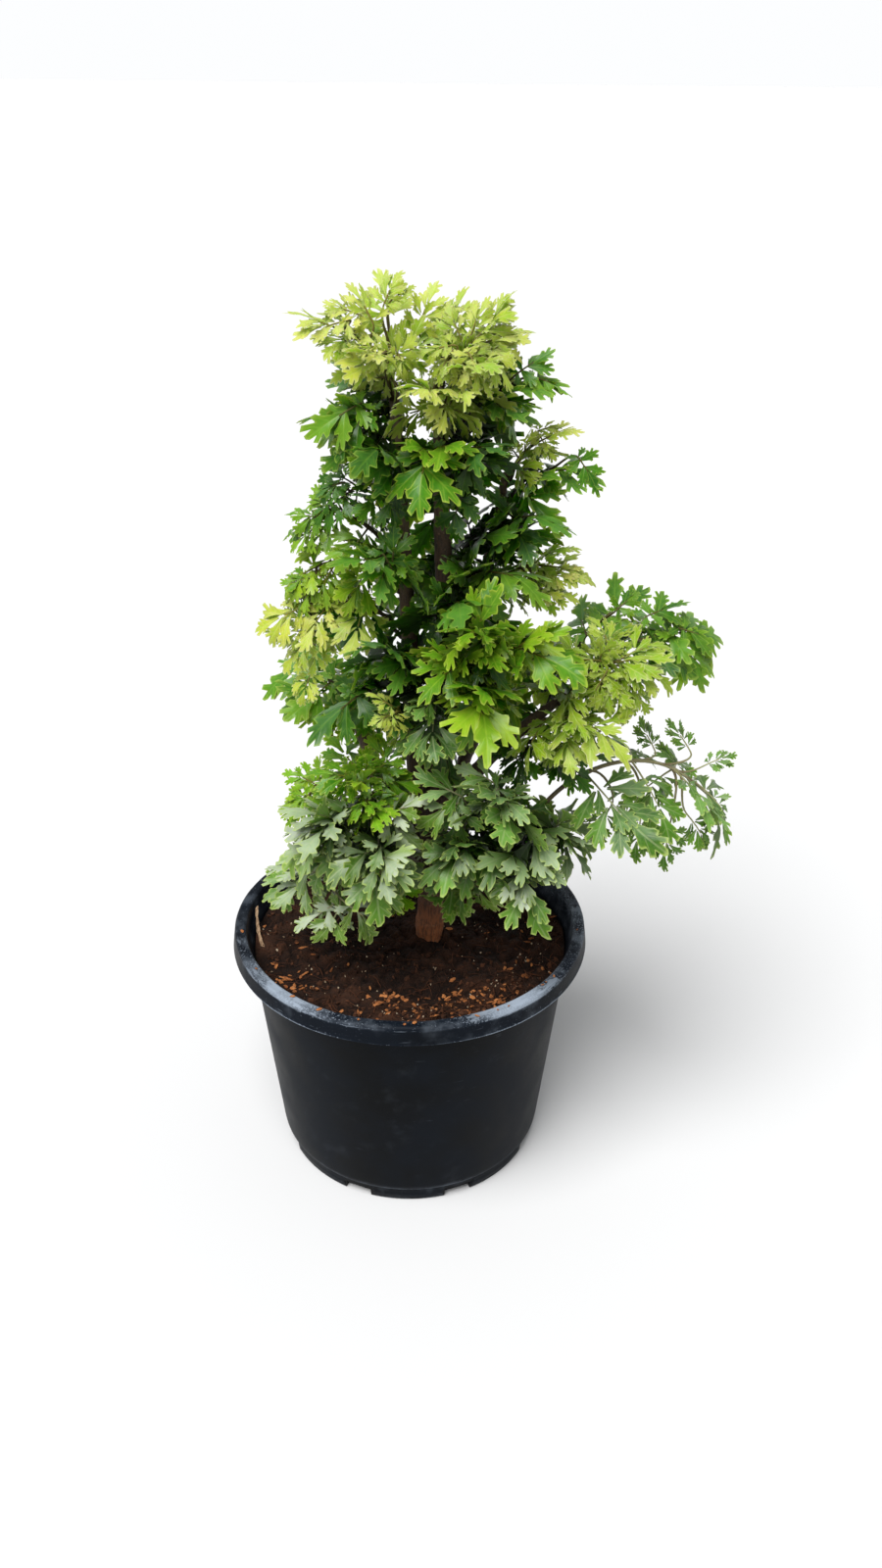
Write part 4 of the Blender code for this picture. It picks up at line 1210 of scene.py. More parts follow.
@dataclass(frozen=True)
class LobeCut:
    """The outline of a kind of lobe: a narrow foot, a broad blade and five blunt teeth round its end.

    The rows, in shares of the lobe's length, hold (x, y) on one half from the midvein outwards: three across
    the blade, then the end with its notch and second tooth, and the side tooth that stands between mid and
    high.
    """

    foot: Half = ((0.0, 0.0), (0.0, 0.035))
    low: Half = ((0.22, 0.0), (0.21, 0.050), (0.19, 0.105))
    mid: Half = ((0.44, 0.0), (0.43, 0.085), (0.40, 0.180))
    high: Half = ((0.68, 0.0), (0.67, 0.070), (0.620, 0.140))
    end: Half = ((1.03, 0.0), (0.995, 0.070), (0.790, 0.086), (0.900, 0.180), (0.810, 0.256))
    tooth: Half = ((0.500, 0.272), (0.610, 0.268))
    thickness: float = 0.00042

    def points(self) -> tuple[Array, Array]:
        """The flat outline's points, and 1 for those on the outline, 0 for those within it.

        The rows run from one end to the other, and the side tooth comes last: foot 0 to 2, low 3 to 7, mid 8
        to 12, high 13 to 17, end 18 to 26 with the tip 22, tooth 27 and 28 on one side and 29 and 30 on the
        other.
        """
        rows = [np.array(row, float) for row in (self.foot, self.low, self.mid, self.high, self.end)]
        rows = [np.vstack([row[:0:-1] * (1, -1), row]) for row in rows]
        tooth = np.array(self.tooth)
        flat = np.vstack([*rows, tooth * (1, -1), tooth])
        edge = np.ones(len(flat))
        edge[self.inner()] = 0
        return flat, edge

    def fingers(self) -> Array:
        """The tooth of each point: 1 and 2 the second ones, 3 and 4 the side ones, 0 elsewhere."""
        finger = np.zeros(31, int)
        finger[[18, 19]], finger[[25, 26]], finger[[27, 28]], finger[[29, 30]] = 1, 2, 3, 4
        return finger

    def inner(self) -> Array:
        """Numbers of the points within the outline, which have a partner below."""
        return np.array([4, 5, 6, 9, 10, 11, 14, 15, 16])

    def faces(self) -> tuple[Array, Array]:
        """Quads and triangles of the closed lobe; the face below shares the outline's points with the top.

        Partners of the inner points are numbered from 31. A face below is split along the same diagonal as
        its top.
        """
        quads = [(0, 3, 4, 1), (1, 6, 7, 2), (9, 14, 15, 10), (10, 15, 16, 11), (11, 30, 29, 12)]
        quads += [(9, 8, 27, 28)] + [(k, k + 5, k + 6, k + 1) for k in range(3, 7)]
        quads += [(15, 22, 23, 24), (16, 25, 26, 17), (15, 20, 21, 22), (14, 13, 18, 19)]
        triangles = [(1, 4, 5), (1, 5, 6), (15, 24, 16), (16, 24, 25), (15, 14, 20), (14, 19, 20)]
        triangles += [(11, 16, 17), (11, 17, 30), (9, 13, 14), (9, 28, 13)]
        below = np.arange(31)
        below[self.inner()] = 31 + np.arange(9)
        quads, triangles = np.array(quads), np.array(triangles)
        quads = np.vstack([quads, below[quads][:, [0, 3, 2, 1]]])
        return quads, np.vstack([triangles, below[triangles][:, ::-1]])


OAK = LobeCut()
SPOON = LobeCut(
    low=((0.28, 0.0), (0.27, 0.040), (0.26, 0.078)),
    mid=((0.50, 0.0), (0.49, 0.078), (0.47, 0.152)),
    high=((0.72, 0.0), (0.71, 0.082), (0.680, 0.160)),
    end=((1.03, 0.0), (0.990, 0.074), (0.820, 0.092), (0.930, 0.185), (0.850, 0.270)),
    tooth=((0.590, 0.240), (0.690, 0.262)),
)


@dataclass
class Lobes:
    """A batch of lobes, a row each.

    It holds their feet, directions, left sides, upper normals, lengths, leans to one side, tones, shifts to
    the second colour, and the shares of the sky that their feet and tips see.
    """

    foot: Array
    along: Array
    side: Array
    normal: Array
    length: Array
    lean: Array
    tone: Array
    shift: Array
    open: Array | None = None

    def surface(self, cut: LobeCut, random: Random) -> tuple[Array, dict[str, Array]]:
        """Works out every lobe's points at once.

        A point (x, y) of the outline, in shares of the length, is stretched a little at random, leans to one
        side by lean * x * x, and lies at height: gutter * |y| - arch * x * x - cup * y * y + twist * x * y +
        ripple * |y| * sin(9 x + phase) + each tooth's own bend. The lower points lie one thickness below.

        Args:
            cut: the shared outline.
            random: the source of each lobe's own shape.

        Returns:
            (lobes, points, 3) places and the values at them.
        """
        count = len(self.foot)
        flat, edge = cut.points()
        one, finger = (count, 1), cut.fingers()
        toothed = edge * (flat[:, 0] > 0.53)
        grown = 1 + random.uniform(-0.09, 0.06, (count, 5))[:, finger] * toothed
        x = flat[:, 0] * grown
        y = flat[:, 1] * random.uniform(0.84, 1.16, one) * (1 + 0.8 * (grown - 1))
        x = x * (1 + random.uniform(-0.09, 0.09, one) * np.sign(y) * flat[:, 0])
        z = random.uniform(0.05, 0.42, one) * np.abs(y) - random.uniform(0.04, 0.42, one) * x**2
        z = z - random.uniform(0.0, 1.2, one) * y**2 + random.uniform(-0.6, 0.6, one) * x * y
        ripple = random.uniform(0.0, 0.22, one) * np.abs(y)
        z = z + ripple * np.sin(9 * x + random.uniform(0, 6.28, one) + 1.5 * np.sign(y))
        z = z + random.uniform(-0.07, 0.04, (count, 5))[:, finger] * toothed
        y = y + self.lean[:, None] * x**2
        local = np.stack([x, y, z], -1) * self.length[:, None, None]
        axes = np.stack([self.along, self.side, self.normal], 1)
        points = self.foot[:, None] + np.einsum("nki,nij->nkj", local, axes)
        inner = cut.inner()
        below = points[:, inner] - self.normal[:, None] * cut.thickness
        flat, edge = np.vstack([flat, flat[inner]]), np.concatenate([edge, edge[inner]])
        whole = (count, len(flat))
        sky = self.open[:, :1] + (self.open[:, 1:] - self.open[:, :1]) * flat[:, 0]
        values = {
            "out": flat[:, 0], "beside": np.abs(flat[:, 1]), "edge": edge, "tone": self.tone[:, None],
            "shift": self.shift[:, None], "open": sky, "under": (np.arange(len(flat)) > 30).astype(float),
        }
        values = {name: np.broadcast_to(held, whole) for name, held in values.items()}
        return np.concatenate([points, below], 1), values


@dataclass
class Sky:
    """How much sky a place in the foliage sees, from the leaf area held in the cells of a coarse grid.

    Light from a direction is exp(-half the leaf area per volume, summed over the way out).
    """

    cell: float = 0.006
    start: float = 0.006
    steps: int = 12
    lowest: float = -0.25
    directions: int = 26

    def fill(self, places: Array, areas: Array) -> None:
        """Spreads leaf areas over the grid and softens it by one cell."""
        self.low = places.min(0) - 4 * self.cell
        size = np.ceil((places.max(0) + 4 * self.cell - self.low) / self.cell).astype(int)
        cells = ((places - self.low) / self.cell).astype(int)
        grid = np.bincount(np.ravel_multi_index(cells.T, size), areas, int(np.prod(size))).reshape(size)
        for axis in range(3):
            grid = (np.roll(grid, 1, axis) + 2 * grid + np.roll(grid, -1, axis)) / 4
        self.depth = 0.5 * grid / self.cell**3 * self.cell

    def share(self, places: Array) -> Array:
        """The share of the sky that each place sees: the rays spread evenly, those from above count most."""
        number = np.arange(self.directions) + 0.5
        rise = 1 - (1 - self.lowest) * number / self.directions
        turn = number * math.pi * (3 - math.sqrt(5))
        flat = np.sqrt(1 - rise**2)
        ways = np.stack([flat * np.cos(turn), flat * np.sin(turn), rise], -1)
        reach = self.start + self.cell * np.arange(self.steps)
        total = np.zeros(len(places))
        weights = 0.5 + 0.5 * rise - 0.15 * ways[:, 1]
        for way, weight in zip(ways, weights):
            spots = places[:, None] + way * reach[:, None]
            cells = np.clip(((spots - self.low) / self.cell).astype(int), 0, np.array(self.depth.shape) - 1)
            total += weight * np.exp(-self.depth[tuple(np.moveaxis(cells, -1, 0))].sum(1))
        return total / weights.sum()


def turned_frame(azimuth: Array, lift: Array, roll: Array) -> tuple[Array, Array, Array]:
    """Direction, left side and upper normal for an azimuth, a lift and a roll, all in degrees."""
    a, e, r = (np.radians(np.asarray(v, float)) for v in (azimuth, lift, roll))
    along = np.stack([np.cos(a) * np.cos(e), np.sin(a) * np.cos(e), np.sin(e)], -1)
    side = np.stack([-np.sin(a), np.cos(a), 0 * a], -1)
    normal = np.cross(along, side)
    c, s = np.cos(r)[..., None], np.sin(r)[..., None]
    return along, side * c + normal * s, normal * c - side * s


@dataclass(frozen=True)
class Frame:
    """A direction with its left side and its upper normal."""

    along: Array
    side: Array
    normal: Array

    def turned(self, yaw: float, pitch: float, roll: float) -> "Frame":
        """The frame turned to its left, then pitched up, then rolled about its direction, in degrees."""
        along, side = swing(self.along, self.side, yaw)
        along, normal = swing(along, self.normal, pitch)
        return Frame(along, *swing(side, normal, roll))


@dataclass(frozen=True)
class Frond:
    """One compound leaf: where it leaves its stem, how its rib arches and how big its leaflets are."""

    name: str
    stem: str
    height: float
    azimuth: float
    lift: float
    fall: float
    length: float
    leaf: float
    tint: Tint
    pairs: int = 2
    turn: float = 0.0
    roll: float = 0.0
    habit: Habit = Habit.FULL
    extras: int = 6
    shift: float = 0.25
    tone: float = 0.0


LIME, BRIGHT, MID, DEEP, SILVER = Tint.LIME, Tint.BRIGHT, Tint.MID, Tint.DEEP, Tint.SILVER
FINE, OPEN = Habit.FINE, Habit.OPEN

FRONDS = (
    # The pale young crown at the top
    Frond("crown_left", "left", 0.556, 184, 88, 8, 0.050, 0.033, LIME, roll=30, extras=1),
    Frond("crown_up_left", "left", 0.553, 100, 86, 62, 0.044, 0.038, LIME, 1, extras=1),
    Frond("crown_front_left", "left", 0.549, 246, 86, 34, 0.034, 0.030, LIME, extras=0),
    Frond("crown_up", "main", 0.552, 60, 87, 66, 0.038, 0.036, LIME, 1, extras=1),
    Frond("crown_mid", "main", 0.546, 348, 85, 50, 0.044, 0.042, LIME, extras=4),
    Frond("crown_front_right", "main", 0.541, 302, 80, 24, 0.038, 0.037, LIME, extras=2),
    Frond("crown_right", "main", 0.536, 26, 82, 30, 0.044, 0.042, LIME, extras=4),
    Frond("crown_front", "main", 0.535, 260, 82, 20, 0.035, 0.036, LIME, extras=0, tone=0.3),
    Frond("top_right", "main", 0.523, 358, 74, 16, 0.050, 0.041, MID),
    # Upper foliage
    Frond("upper_back_left", "left", 0.526, 128, 74, 14, 0.036, 0.039, DEEP, 1, extras=3),
    Frond("upper_left", "left", 0.518, 186, 84, 12, 0.028, 0.039, MID, tone=-0.1),
    Frond("upper_front_left", "left", 0.501, 250, 85, 18, 0.034, 0.039, DEEP, extras=6),
    Frond("curl_right", "right_high", 0.495, 334, 86, 28, 0.032, 0.030, LIME, habit=FINE, extras=5, tone=0.3),
    Frond("far_right", "right_high", 0.482, 346, 76, 2, 0.038, 0.039, MID, extras=3),
    Frond("right_mid", "right_high", 0.450, 304, 84, 14, 0.046, 0.040, DEEP, tone=0.1),
    Frond("centre_leaf", "main", 0.515, 256, 68, -38, 0.036, 0.041, BRIGHT, extras=3, shift=0.0, tone=-0.5),
    Frond("upper_front_right", "main", 0.504, 308, 84, 14, 0.032, 0.039, DEEP, extras=7),
    Frond("upper_back_right", "main", 0.505, 40, 66, 4, 0.052, 0.043, DEEP, 1),
    Frond("upper_back", "main", 0.478, 98, 60, -10, 0.050, 0.046, MID, 1),
    # Left flank, with long arching stalks
    Frond("left_curl", "left", 0.490, 186, 76, -70, 0.038, 0.032, DEEP, habit=FINE, extras=2),
    Frond("left_broad", "left", 0.440, 232, 80, 8, 0.034, 0.041, MID, extras=0, tone=-0.25),
    Frond("left_reach", "left", 0.456, 176, 66, -6, 0.064, 0.036, MID, habit=FINE, extras=0, shift=0.8),
    Frond("left_arch", "left", 0.432, 180, 66, -40, 0.068, 0.037, BRIGHT, habit=FINE, extras=0, shift=0.8),
    Frond("left_lime", "left", 0.408, 184, 60, -36, 0.074, 0.040, LIME, habit=FINE, extras=0, tone=0.15),
    Frond("left_front", "left", 0.370, 248, 86, 24, 0.046, 0.042, DEEP, extras=5, tone=0.2),
    Frond("left_low", "left", 0.364, 212, 56, -38, 0.042, 0.043, DEEP, extras=1),
    Frond("yellow_small", "left", 0.334, 252, 76, 8, 0.036, 0.026, LIME, 1, habit=FINE, extras=7),
    # Middle and right
    Frond("middle_right", "main", 0.432, 326, 70, -8, 0.038, 0.044, MID),
    Frond("middle_back_right", "main", 0.446, 16, 68, -4, 0.048, 0.044, DEEP, 1),
    Frond("middle_front", "main", 0.404, 278, 84, 14, 0.050, 0.043, DEEP, extras=7, tone=0.25),
    Frond("teal", "main", 0.366, 262, 50, -48, 0.048, 0.044, SILVER, habit=FINE, extras=9, shift=1.0),
    Frond("right_fine", "right_high", 0.424, 348, 70, -12, 0.048, 0.038, LIME, habit=FINE),
    Frond("bright_left", "front_mid", 0.392, 236, 66, -8, 0.026, 0.037, BRIGHT),
    Frond("bright_down", "front_mid", 0.382, 278, 56, -38, 0.040, 0.047, BRIGHT),
    Frond("bright_right", "front_mid", 0.400, 322, 68, -6, 0.032, 0.043, BRIGHT),
    Frond("bright_up", "front_mid", 0.406, 250, 84, 18, 0.032, 0.038, BRIGHT, tone=-0.2),
    # The long right-hand branch
    Frond("lime_front", "right_low", 0.346, 314, 66, -10, 0.054, 0.045, LIME, habit=FINE, shift=1.0),
    Frond("lime_right", "right_low", 0.367, 332, 80, 20, 0.050, 0.042, LIME, habit=FINE, shift=1.0),
    Frond("right_end", "right_low", 0.3665, 18, 62, -12, 0.100, 0.046, MID, extras=3),
    Frond("right_top", "right_low", 0.352, 42, 72, 6, 0.102, 0.043, MID, extras=3),
    Frond("right_under", "right_low", 0.336, 326, 52, -48, 0.032, 0.036, DEEP, habit=FINE),
    Frond("long_arch", "front_right", 0.282, 14, 74, -66, 0.170, 0.060, SILVER, 3, 0, 0, OPEN, 2, 1.0),
    # Lower front, right of the trunk
    Frond("low_right", "front_right", 0.289, 350, 36, -50, 0.033, 0.041, SILVER, shift=0.3),
    Frond("low_right_front", "front_right", 0.279, 294, 12, -66, 0.030, 0.042, SILVER),
    Frond("low_centre", "front_right", 0.273, 222, 58, -22, 0.032, 0.038, SILVER, extras=7, shift=0.9),
    Frond("low_right_up", "front_right", 0.290, 244, 86, 38, 0.040, 0.038, SILVER, extras=7, shift=0.8),
    # Lower front, left of the trunk
    Frond("low_left", "front_left", 0.294, 186, 40, -50, 0.034, 0.045, SILVER, extras=6, shift=0.5),
    Frond("low_left_front", "front_left", 0.287, 264, 30, -58, 0.029, 0.041, SILVER, shift=0.2, extras=6),
    Frond("low_left_up", "front_left", 0.299, 120, 84, 6, 0.034, 0.041, BRIGHT, habit=FINE, extras=7),
    # Low fronds that hang out over the rim
    Frond("soil_left", "main", 0.222, 196, 52, -32, 0.088, 0.045, SILVER, habit=OPEN, extras=7, shift=0.3),
    Frond("side_left", "main", 0.276, 172, 54, -48, 0.088, 0.046, BRIGHT, habit=FINE),
    # The back of the plant
    Frond("middle_back", "main", 0.412, 92, 60, -20, 0.056, 0.046, DEEP, 1),
    Frond("middle_back_left", "left", 0.400, 150, 62, -16, 0.054, 0.044, MID, 1, extras=0),
    Frond("back_left_out", "back_left", 0.330, 152, 64, -26, 0.048, 0.046, MID, extras=2),
    Frond("back_left_rear", "back_left", 0.314, 92, 50, -40, 0.046, 0.046, BRIGHT),
    Frond("back_right_rear", "back_right", 0.330, 78, 56, -36, 0.050, 0.046, MID, 1),
    Frond("back_right_out", "back_right", 0.342, 24, 62, -24, 0.048, 0.045, BRIGHT),
)


# More leaves that show clearly, by frond. A row holds the share of the rib where the leaf's stalk leaves it,
# then (x, y, z) where its blade begins and (x, y, z) where it ends, in millimetres.
SPRAYS: dict[str, tuple[SprayRow, ...]] = {
    "crown_left": (
        (0.95, -33, -10, 593, -64, -16, 588), (0.8, -27, -6, 595, -49, -4, 604),
        (0.55, -20, -6, 591, -31, -4, 614),
    ),
    "crown_up_left": ((0.6, -14, 4, 599, -6, 6, 619), (0.9, -9, 6, 602, 3, 8, 611),),
    "crown_up": ((0.5, 6, 8, 586, 14, 8, 612), (0.9, 17, 10, 589, 30, 12, 604),),
    "crown_front_left": (
        (0.8, -11, -14, 580, -36, -22, 582), (0.9, -10, -18, 579, -28, -30, 571),
        (1, -7, -20, 579, 1, -32, 567),
    ),
    "crown_mid": (
        (0.9, 35, -8, 583, 42, -2, 606), (1, 37, -10, 582, 59, -2, 605), (0.8, 30, -10, 583, 21, -4, 603),
    ),
    "crown_right": ((0.9, 41, -10, 580, 69, -8, 593), (0.95, 41, -14, 578, 68, -16, 581),),
    "crown_front_right": ((0.95, 38, -24, 578, 61, -38, 568), (0.9, 34, -28, 578, 46, -44, 559),),
    "crown_front": (
        (1, 28, -26, 578, 29, -42, 563), (0.9, 24, -26, 579, 13, -38, 565),
        (0.8, 25, -22, 582, 5, -28, 580),
    ),
    "top_right": ((0.9, 64, -4, 564, 84, 0, 578), (1, 73, -4, 561, 95, -8, 556),),
    "upper_left": ((0.9, -28, -20, 549, -58, -34, 537), (0.7, -25, -20, 545, -40, -34, 520),),
    "upper_back_left": ((0.95, -14, 2, 552, -37, 4, 561),),
    "curl_right": ((0.9, 77, 8, 527, 92, 6, 534), (1, 79, 8, 524, 87, 0, 512),),
    "far_right": ((1, 103, 8, 511, 117, -2, 494),),
    "right_fine": ((0.9, 86, 4, 436, 110, 0, 448), (0.8, 80, 0, 431, 106, -6, 429),),
    "left_curl": ((0.95, -39, -10, 501, -55, -16, 498), (1, -45, -12, 498, -51, -20, 485),),
    "left_reach": (
        (1, -53, -6, 478, -76, -6, 482), (1, -54, -8, 475, -74, -14, 462), (0.9, -47, -4, 480, -59, 2, 494),
    ),
    "left_arch": (
        (1, -58, -10, 441, -81, -10, 440), (1, -58, -12, 439, -76, -18, 420),
        (0.95, -54, -12, 441, -53, -20, 418), (0.85, -47, -8, 444, -34, -14, 422),
    ),
    "left_lime": (
        (1, -62, -14, 407, -91, -12, 410), (1, -61, -16, 405, -85, -20, 384),
        (0.95, -59, -16, 405, -59, -24, 379), (0.9, -56, -14, 408, -40, -18, 394),
        (1, -64, -10, 409, -75, -4, 425), (0.9, -62, -18, 381, -72, -24, 361),
    ),
    "side_left": (
        (1, -66, -4, 287, -89, -10, 274), (0.95, -68, -6, 285, -79, -16, 256),
        (1, -64, 0, 291, -85, 4, 302),
    ),
    "lime_right": (
        (1, 130, -46, 403, 159, -40, 417), (1, 132, -48, 398, 166, -50, 393),
        (0.95, 129, -52, 395, 152, -62, 368), (0.9, 122, -44, 407, 115, -36, 429),
        (0.7, 117, -48, 402, 90, -50, 407),
    ),
    "lime_front": ((0.95, 125, -56, 395, 129, -68, 366), (0.9, 119, -56, 398, 103, -66, 374),),
    "right_end": (
        (1, 172, -8, 407, 202, -10, 399), (0.95, 169, -10, 402, 194, -24, 376),
        (0.7, 151, -6, 415, 176, 4, 422),
    ),
    "right_top": ((0.9, 134, 8, 414, 149, 14, 427),),
    "long_arch": (
        (0.62, 160, -24, 328, 151, -22, 347), (0.8, 184, -22, 326, 173, -18, 345),
        (0.9, 193, -20, 314, 211, -20, 325), (0.95, 198, -22, 296, 216, -28, 280),
        (0.9, 184, -30, 284, 203, -36, 263), (0.85, 173, -34, 281, 169, -42, 249),
        (0.6, 152, -38, 292, 150, -46, 259), (0.45, 131, -42, 297, 117, -48, 273),
    ),
    "teal": (
        (0.9, 13, -44, 365, -8, -50, 346), (1, 17, -46, 363, 13, -54, 333),
        (0.8, 21, -44, 365, 43, -54, 345), (1, 18, -48, 351, 32, -58, 322),
    ),
    "yellow_small": (
        (1, -10, -52, 369, -25, -56, 363), (0.9, -8, -50, 369, -13, -58, 353),
        (0.9, -11, -50, 373, -23, -54, 384),
    ),
    "low_centre": (
        (1, 32, -66, 318, 7, -66, 334), (1, 29, -70, 315, 3, -76, 306), (0.9, 33, -70, 312, 21, -78, 286),
        (1, 28, -52, 254, 29, -44, 212), (0.9, 41, -56, 245, 22, -48, 222),
        (0.8, 27, -42, 236, 26, -40, 203),
    ),
    "low_right_up": ((0.8, 53, -68, 328, 32, -62, 341), (0.9, 54, -72, 326, 36, -80, 308),),
    "low_left_front": (
        (0.6, -12, -66, 306, 11, -68, 320), (0.7, -14, -70, 303, 8, -78, 290),
        (0.8, -13, -50, 244, -4, -40, 206),
    ),
    "low_left_up": (
        (0.8, -24, -44, 322, -4, -44, 342), (0.9, -26, -46, 322, 7, -52, 319),
        (0.8, -10, -40, 240, -9, -42, 205), (0.7, -16, -40, 236, -22, -46, 208),
    ),
    "soil_left": (
        (1, -52, -60, 232, -76, -70, 221), (1, -47, -62, 231, -60, -76, 211),
        (0.9, -39, -64, 234, -17, -74, 222), (1, -66, -40, 246, -95, -40, 254),
        (1, -67, -44, 241, -98, -52, 232),
    ),
    "low_left": ((1, -52, -62, 282, -80, -66, 279), (1, -50, -66, 279, -67, -78, 255),),
    "left_broad": (
        (1, -15, -30, 463, -2, -34, 442), (0.8, -11, -26, 456, 8, -34, 455),
        (0.9, -10, -28, 457, -8, -30, 481),
    ),
    "upper_front_left": ((0.7, -11, -24, 512, -3, -30, 488), (0.9, -12, -22, 499, -6, -30, 473),),
    "upper_front_right": (
        (0.8, 29, -22, 517, 18, -34, 495), (0.9, 32, -24, 520, 43, -34, 499),
        (0.9, 30, -26, 494, 20, -32, 469),
    ),
    "middle_front": ((0.9, 26, -34, 430, 12, -38, 451), (0.8, 24, -30, 423, 5, -36, 409),),
    "left_front": ((0.8, -7, -32, 399, 9, -38, 380), (0.7, -5, -28, 393, 12, -36, 404),),
    "low_right_front": ((0.6, 47, -60, 250, 40, -56, 217),),
}


@dataclass
class SideBranch:
    """A leafy side branch: its foot, its direction, left side, normal, length and habit.

    One on a long stalk also holds the stalk's root on the rib and the way in which it sets off.
    """

    origin: Array
    along: Array
    across: Array
    normal: Array
    length: float
    habit: Habit
    root: Array | None = None
    start: Array | None = None

    def at(self, x: Array, y: Array) -> Array:
        """Places on its blade, x along and y across in shares of its length; it bends down and cups."""
        x, y = np.asarray(x, float)[..., None], np.asarray(y, float)[..., None]
        drop = 0.20 * x * x + 0.55 * y * y
        return self.origin + (self.along * x + self.across * y - self.normal * drop) * self.length


@dataclass
class Skeleton:
    """A frond's rib, and the rules by which side branches sit on it. They repeat those of the plain solid."""

    frond: Frond
    wood: Wood
    stalk_share: float = 0.36
    foot_lift: float = 20.0
    foot_share: float = 0.20
    root_length: float = 0.0040
    rib_width: float = 0.0028
    rib_tip_width: float = 0.0020
    light_roll: float = 26.0
    droop: float = 14.0

    def __post_init__(self) -> None:
        """Works out the rib from the place where its solid leaves the bark."""
        frond = self.frond
        self.centre, self.axis, self.radius = self.wood.at_height(frond.stem, frond.height)
        level = turned_frame(frond.azimuth, 0.0, 0.0)[0]
        self.outward = unit(level - self.axis * (level @ self.axis))
        self.solid = np.unique(np.round(node_points("frond_" + frond.name), 7), axis=0)
        nearest = np.argsort(np.linalg.norm(self.solid - self.centre, axis=1))[:4]
        self.foot = self.solid[nearest].mean(0)
        self.fine = np.linspace(0, 1, 61)
        azimuths = frond.azimuth + frond.turn * self.fine
        path = turned_frame(azimuths, self.elevation(self.fine), 0 * self.fine)[0]
        steps = (path[1:] + path[:-1]) * 0.5 * frond.length / 60
        self.run = np.vstack([np.zeros(3), np.cumsum(steps, axis=0)])
        self.roll = frond.roll + self.light_roll * math.cos(math.radians(frond.azimuth))
        self.shares, self.roots = self.joints()

    def elevation(self, at: Array) -> Array:
        """The rib's elevation at a share of its length: it sets off low, lifts and then falls evenly."""
        even = self.frond.lift + (self.frond.fall - self.frond.lift) * at
        start = np.clip(1 - at / self.foot_share, 0, 1) ** 2
        return even + (min(self.foot_lift, self.frond.lift) - self.frond.lift) * start

    def joints(self) -> tuple[list[float], list[int]]:
        """The rows of the plain rib, as shares of its length, and the rows where side branches join."""
        frond = self.frond
        shares, roots = [0.0, 0.08, 0.20], []
        span, root = 1.0 - self.stalk_share, self.root_length / frond.length
        for pair in range(frond.pairs):
            near = self.stalk_share + span * pair / (frond.pairs + 0.35)
            roots.append(len(shares))
            shares += [near, near + root]
        end = self.stalk_share + span * 0.86 * frond.pairs / (frond.pairs + 0.35)
        shares.append(max(end, shares[-1] + root))
        return shares, roots

    def point(self, at: Array) -> Array:
        """Places on the rib's middle line at shares of its length."""
        at = np.asarray(at, float)
        return self.foot + np.stack([np.interp(at, self.fine, self.run[:, k]) for k in range(3)], -1)

    def axes(self, at: Array) -> tuple[Array, Array, Array]:
        """The rib's direction, left side and normal at shares of its length."""
        at = np.asarray(at, float)
        return turned_frame(self.frond.azimuth + self.frond.turn * at, self.elevation(at), self.roll * at)

    def branch(self, row: int, side: int, length: float, angle: float, pitch: float) -> SideBranch:
        """The side branch at a row of the plain rib.

        Args:
            row: the rib's row where it joins.
            side: 1 for left, -1 for right and 0 for the one that carries on from the rib's end.
            length: its length.
            angle: how far it turns from the rib.
            pitch: how far it is bent up.

        Returns:
            The side branch.
        """
        at = self.shares[row]
        along, left, normal = self.axes(at)
        origin = self.point(at)
        out = along
        if side:
            turn = math.radians(angle)
            out = math.cos(turn) * along + side * math.sin(turn) * left
            width = self.rib_width + (self.rib_tip_width - self.rib_width) * at
            origin = (origin + self.point(self.shares[row + 1])) / 2 + left * side * width / 2
        out = unit(out - normal * (out @ normal))
        across = np.cross(normal, out)
        along, normal = swing(out, normal, pitch)
        return SideBranch(origin, along, across, normal, length, habit_of(self.frond))


def habit_of(frond: Frond, on_stalk: bool = False) -> Habit:
    """A side branch's habit: pale or silvery fronds and leaves on long stalks are cut where others are full.

    Args:
        frond: its frond.
        on_stalk: whether it is a leaf on a long stalk.

    Returns:
        The habit.
    """
    if frond.habit is Habit.FULL or (on_stalk and frond.pairs < 3):
        cut = {LIME: Habit.HAND, SILVER: Habit.SPLAY}
        return cut.get(frond.tint, Habit.FULL if frond.habit is Habit.FULL else Habit.HAND)
    return frond.habit


def node_points(name: str) -> Array:
    """The points of a CAD node."""
    return mesh_rows(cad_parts[name].data).astype(float)


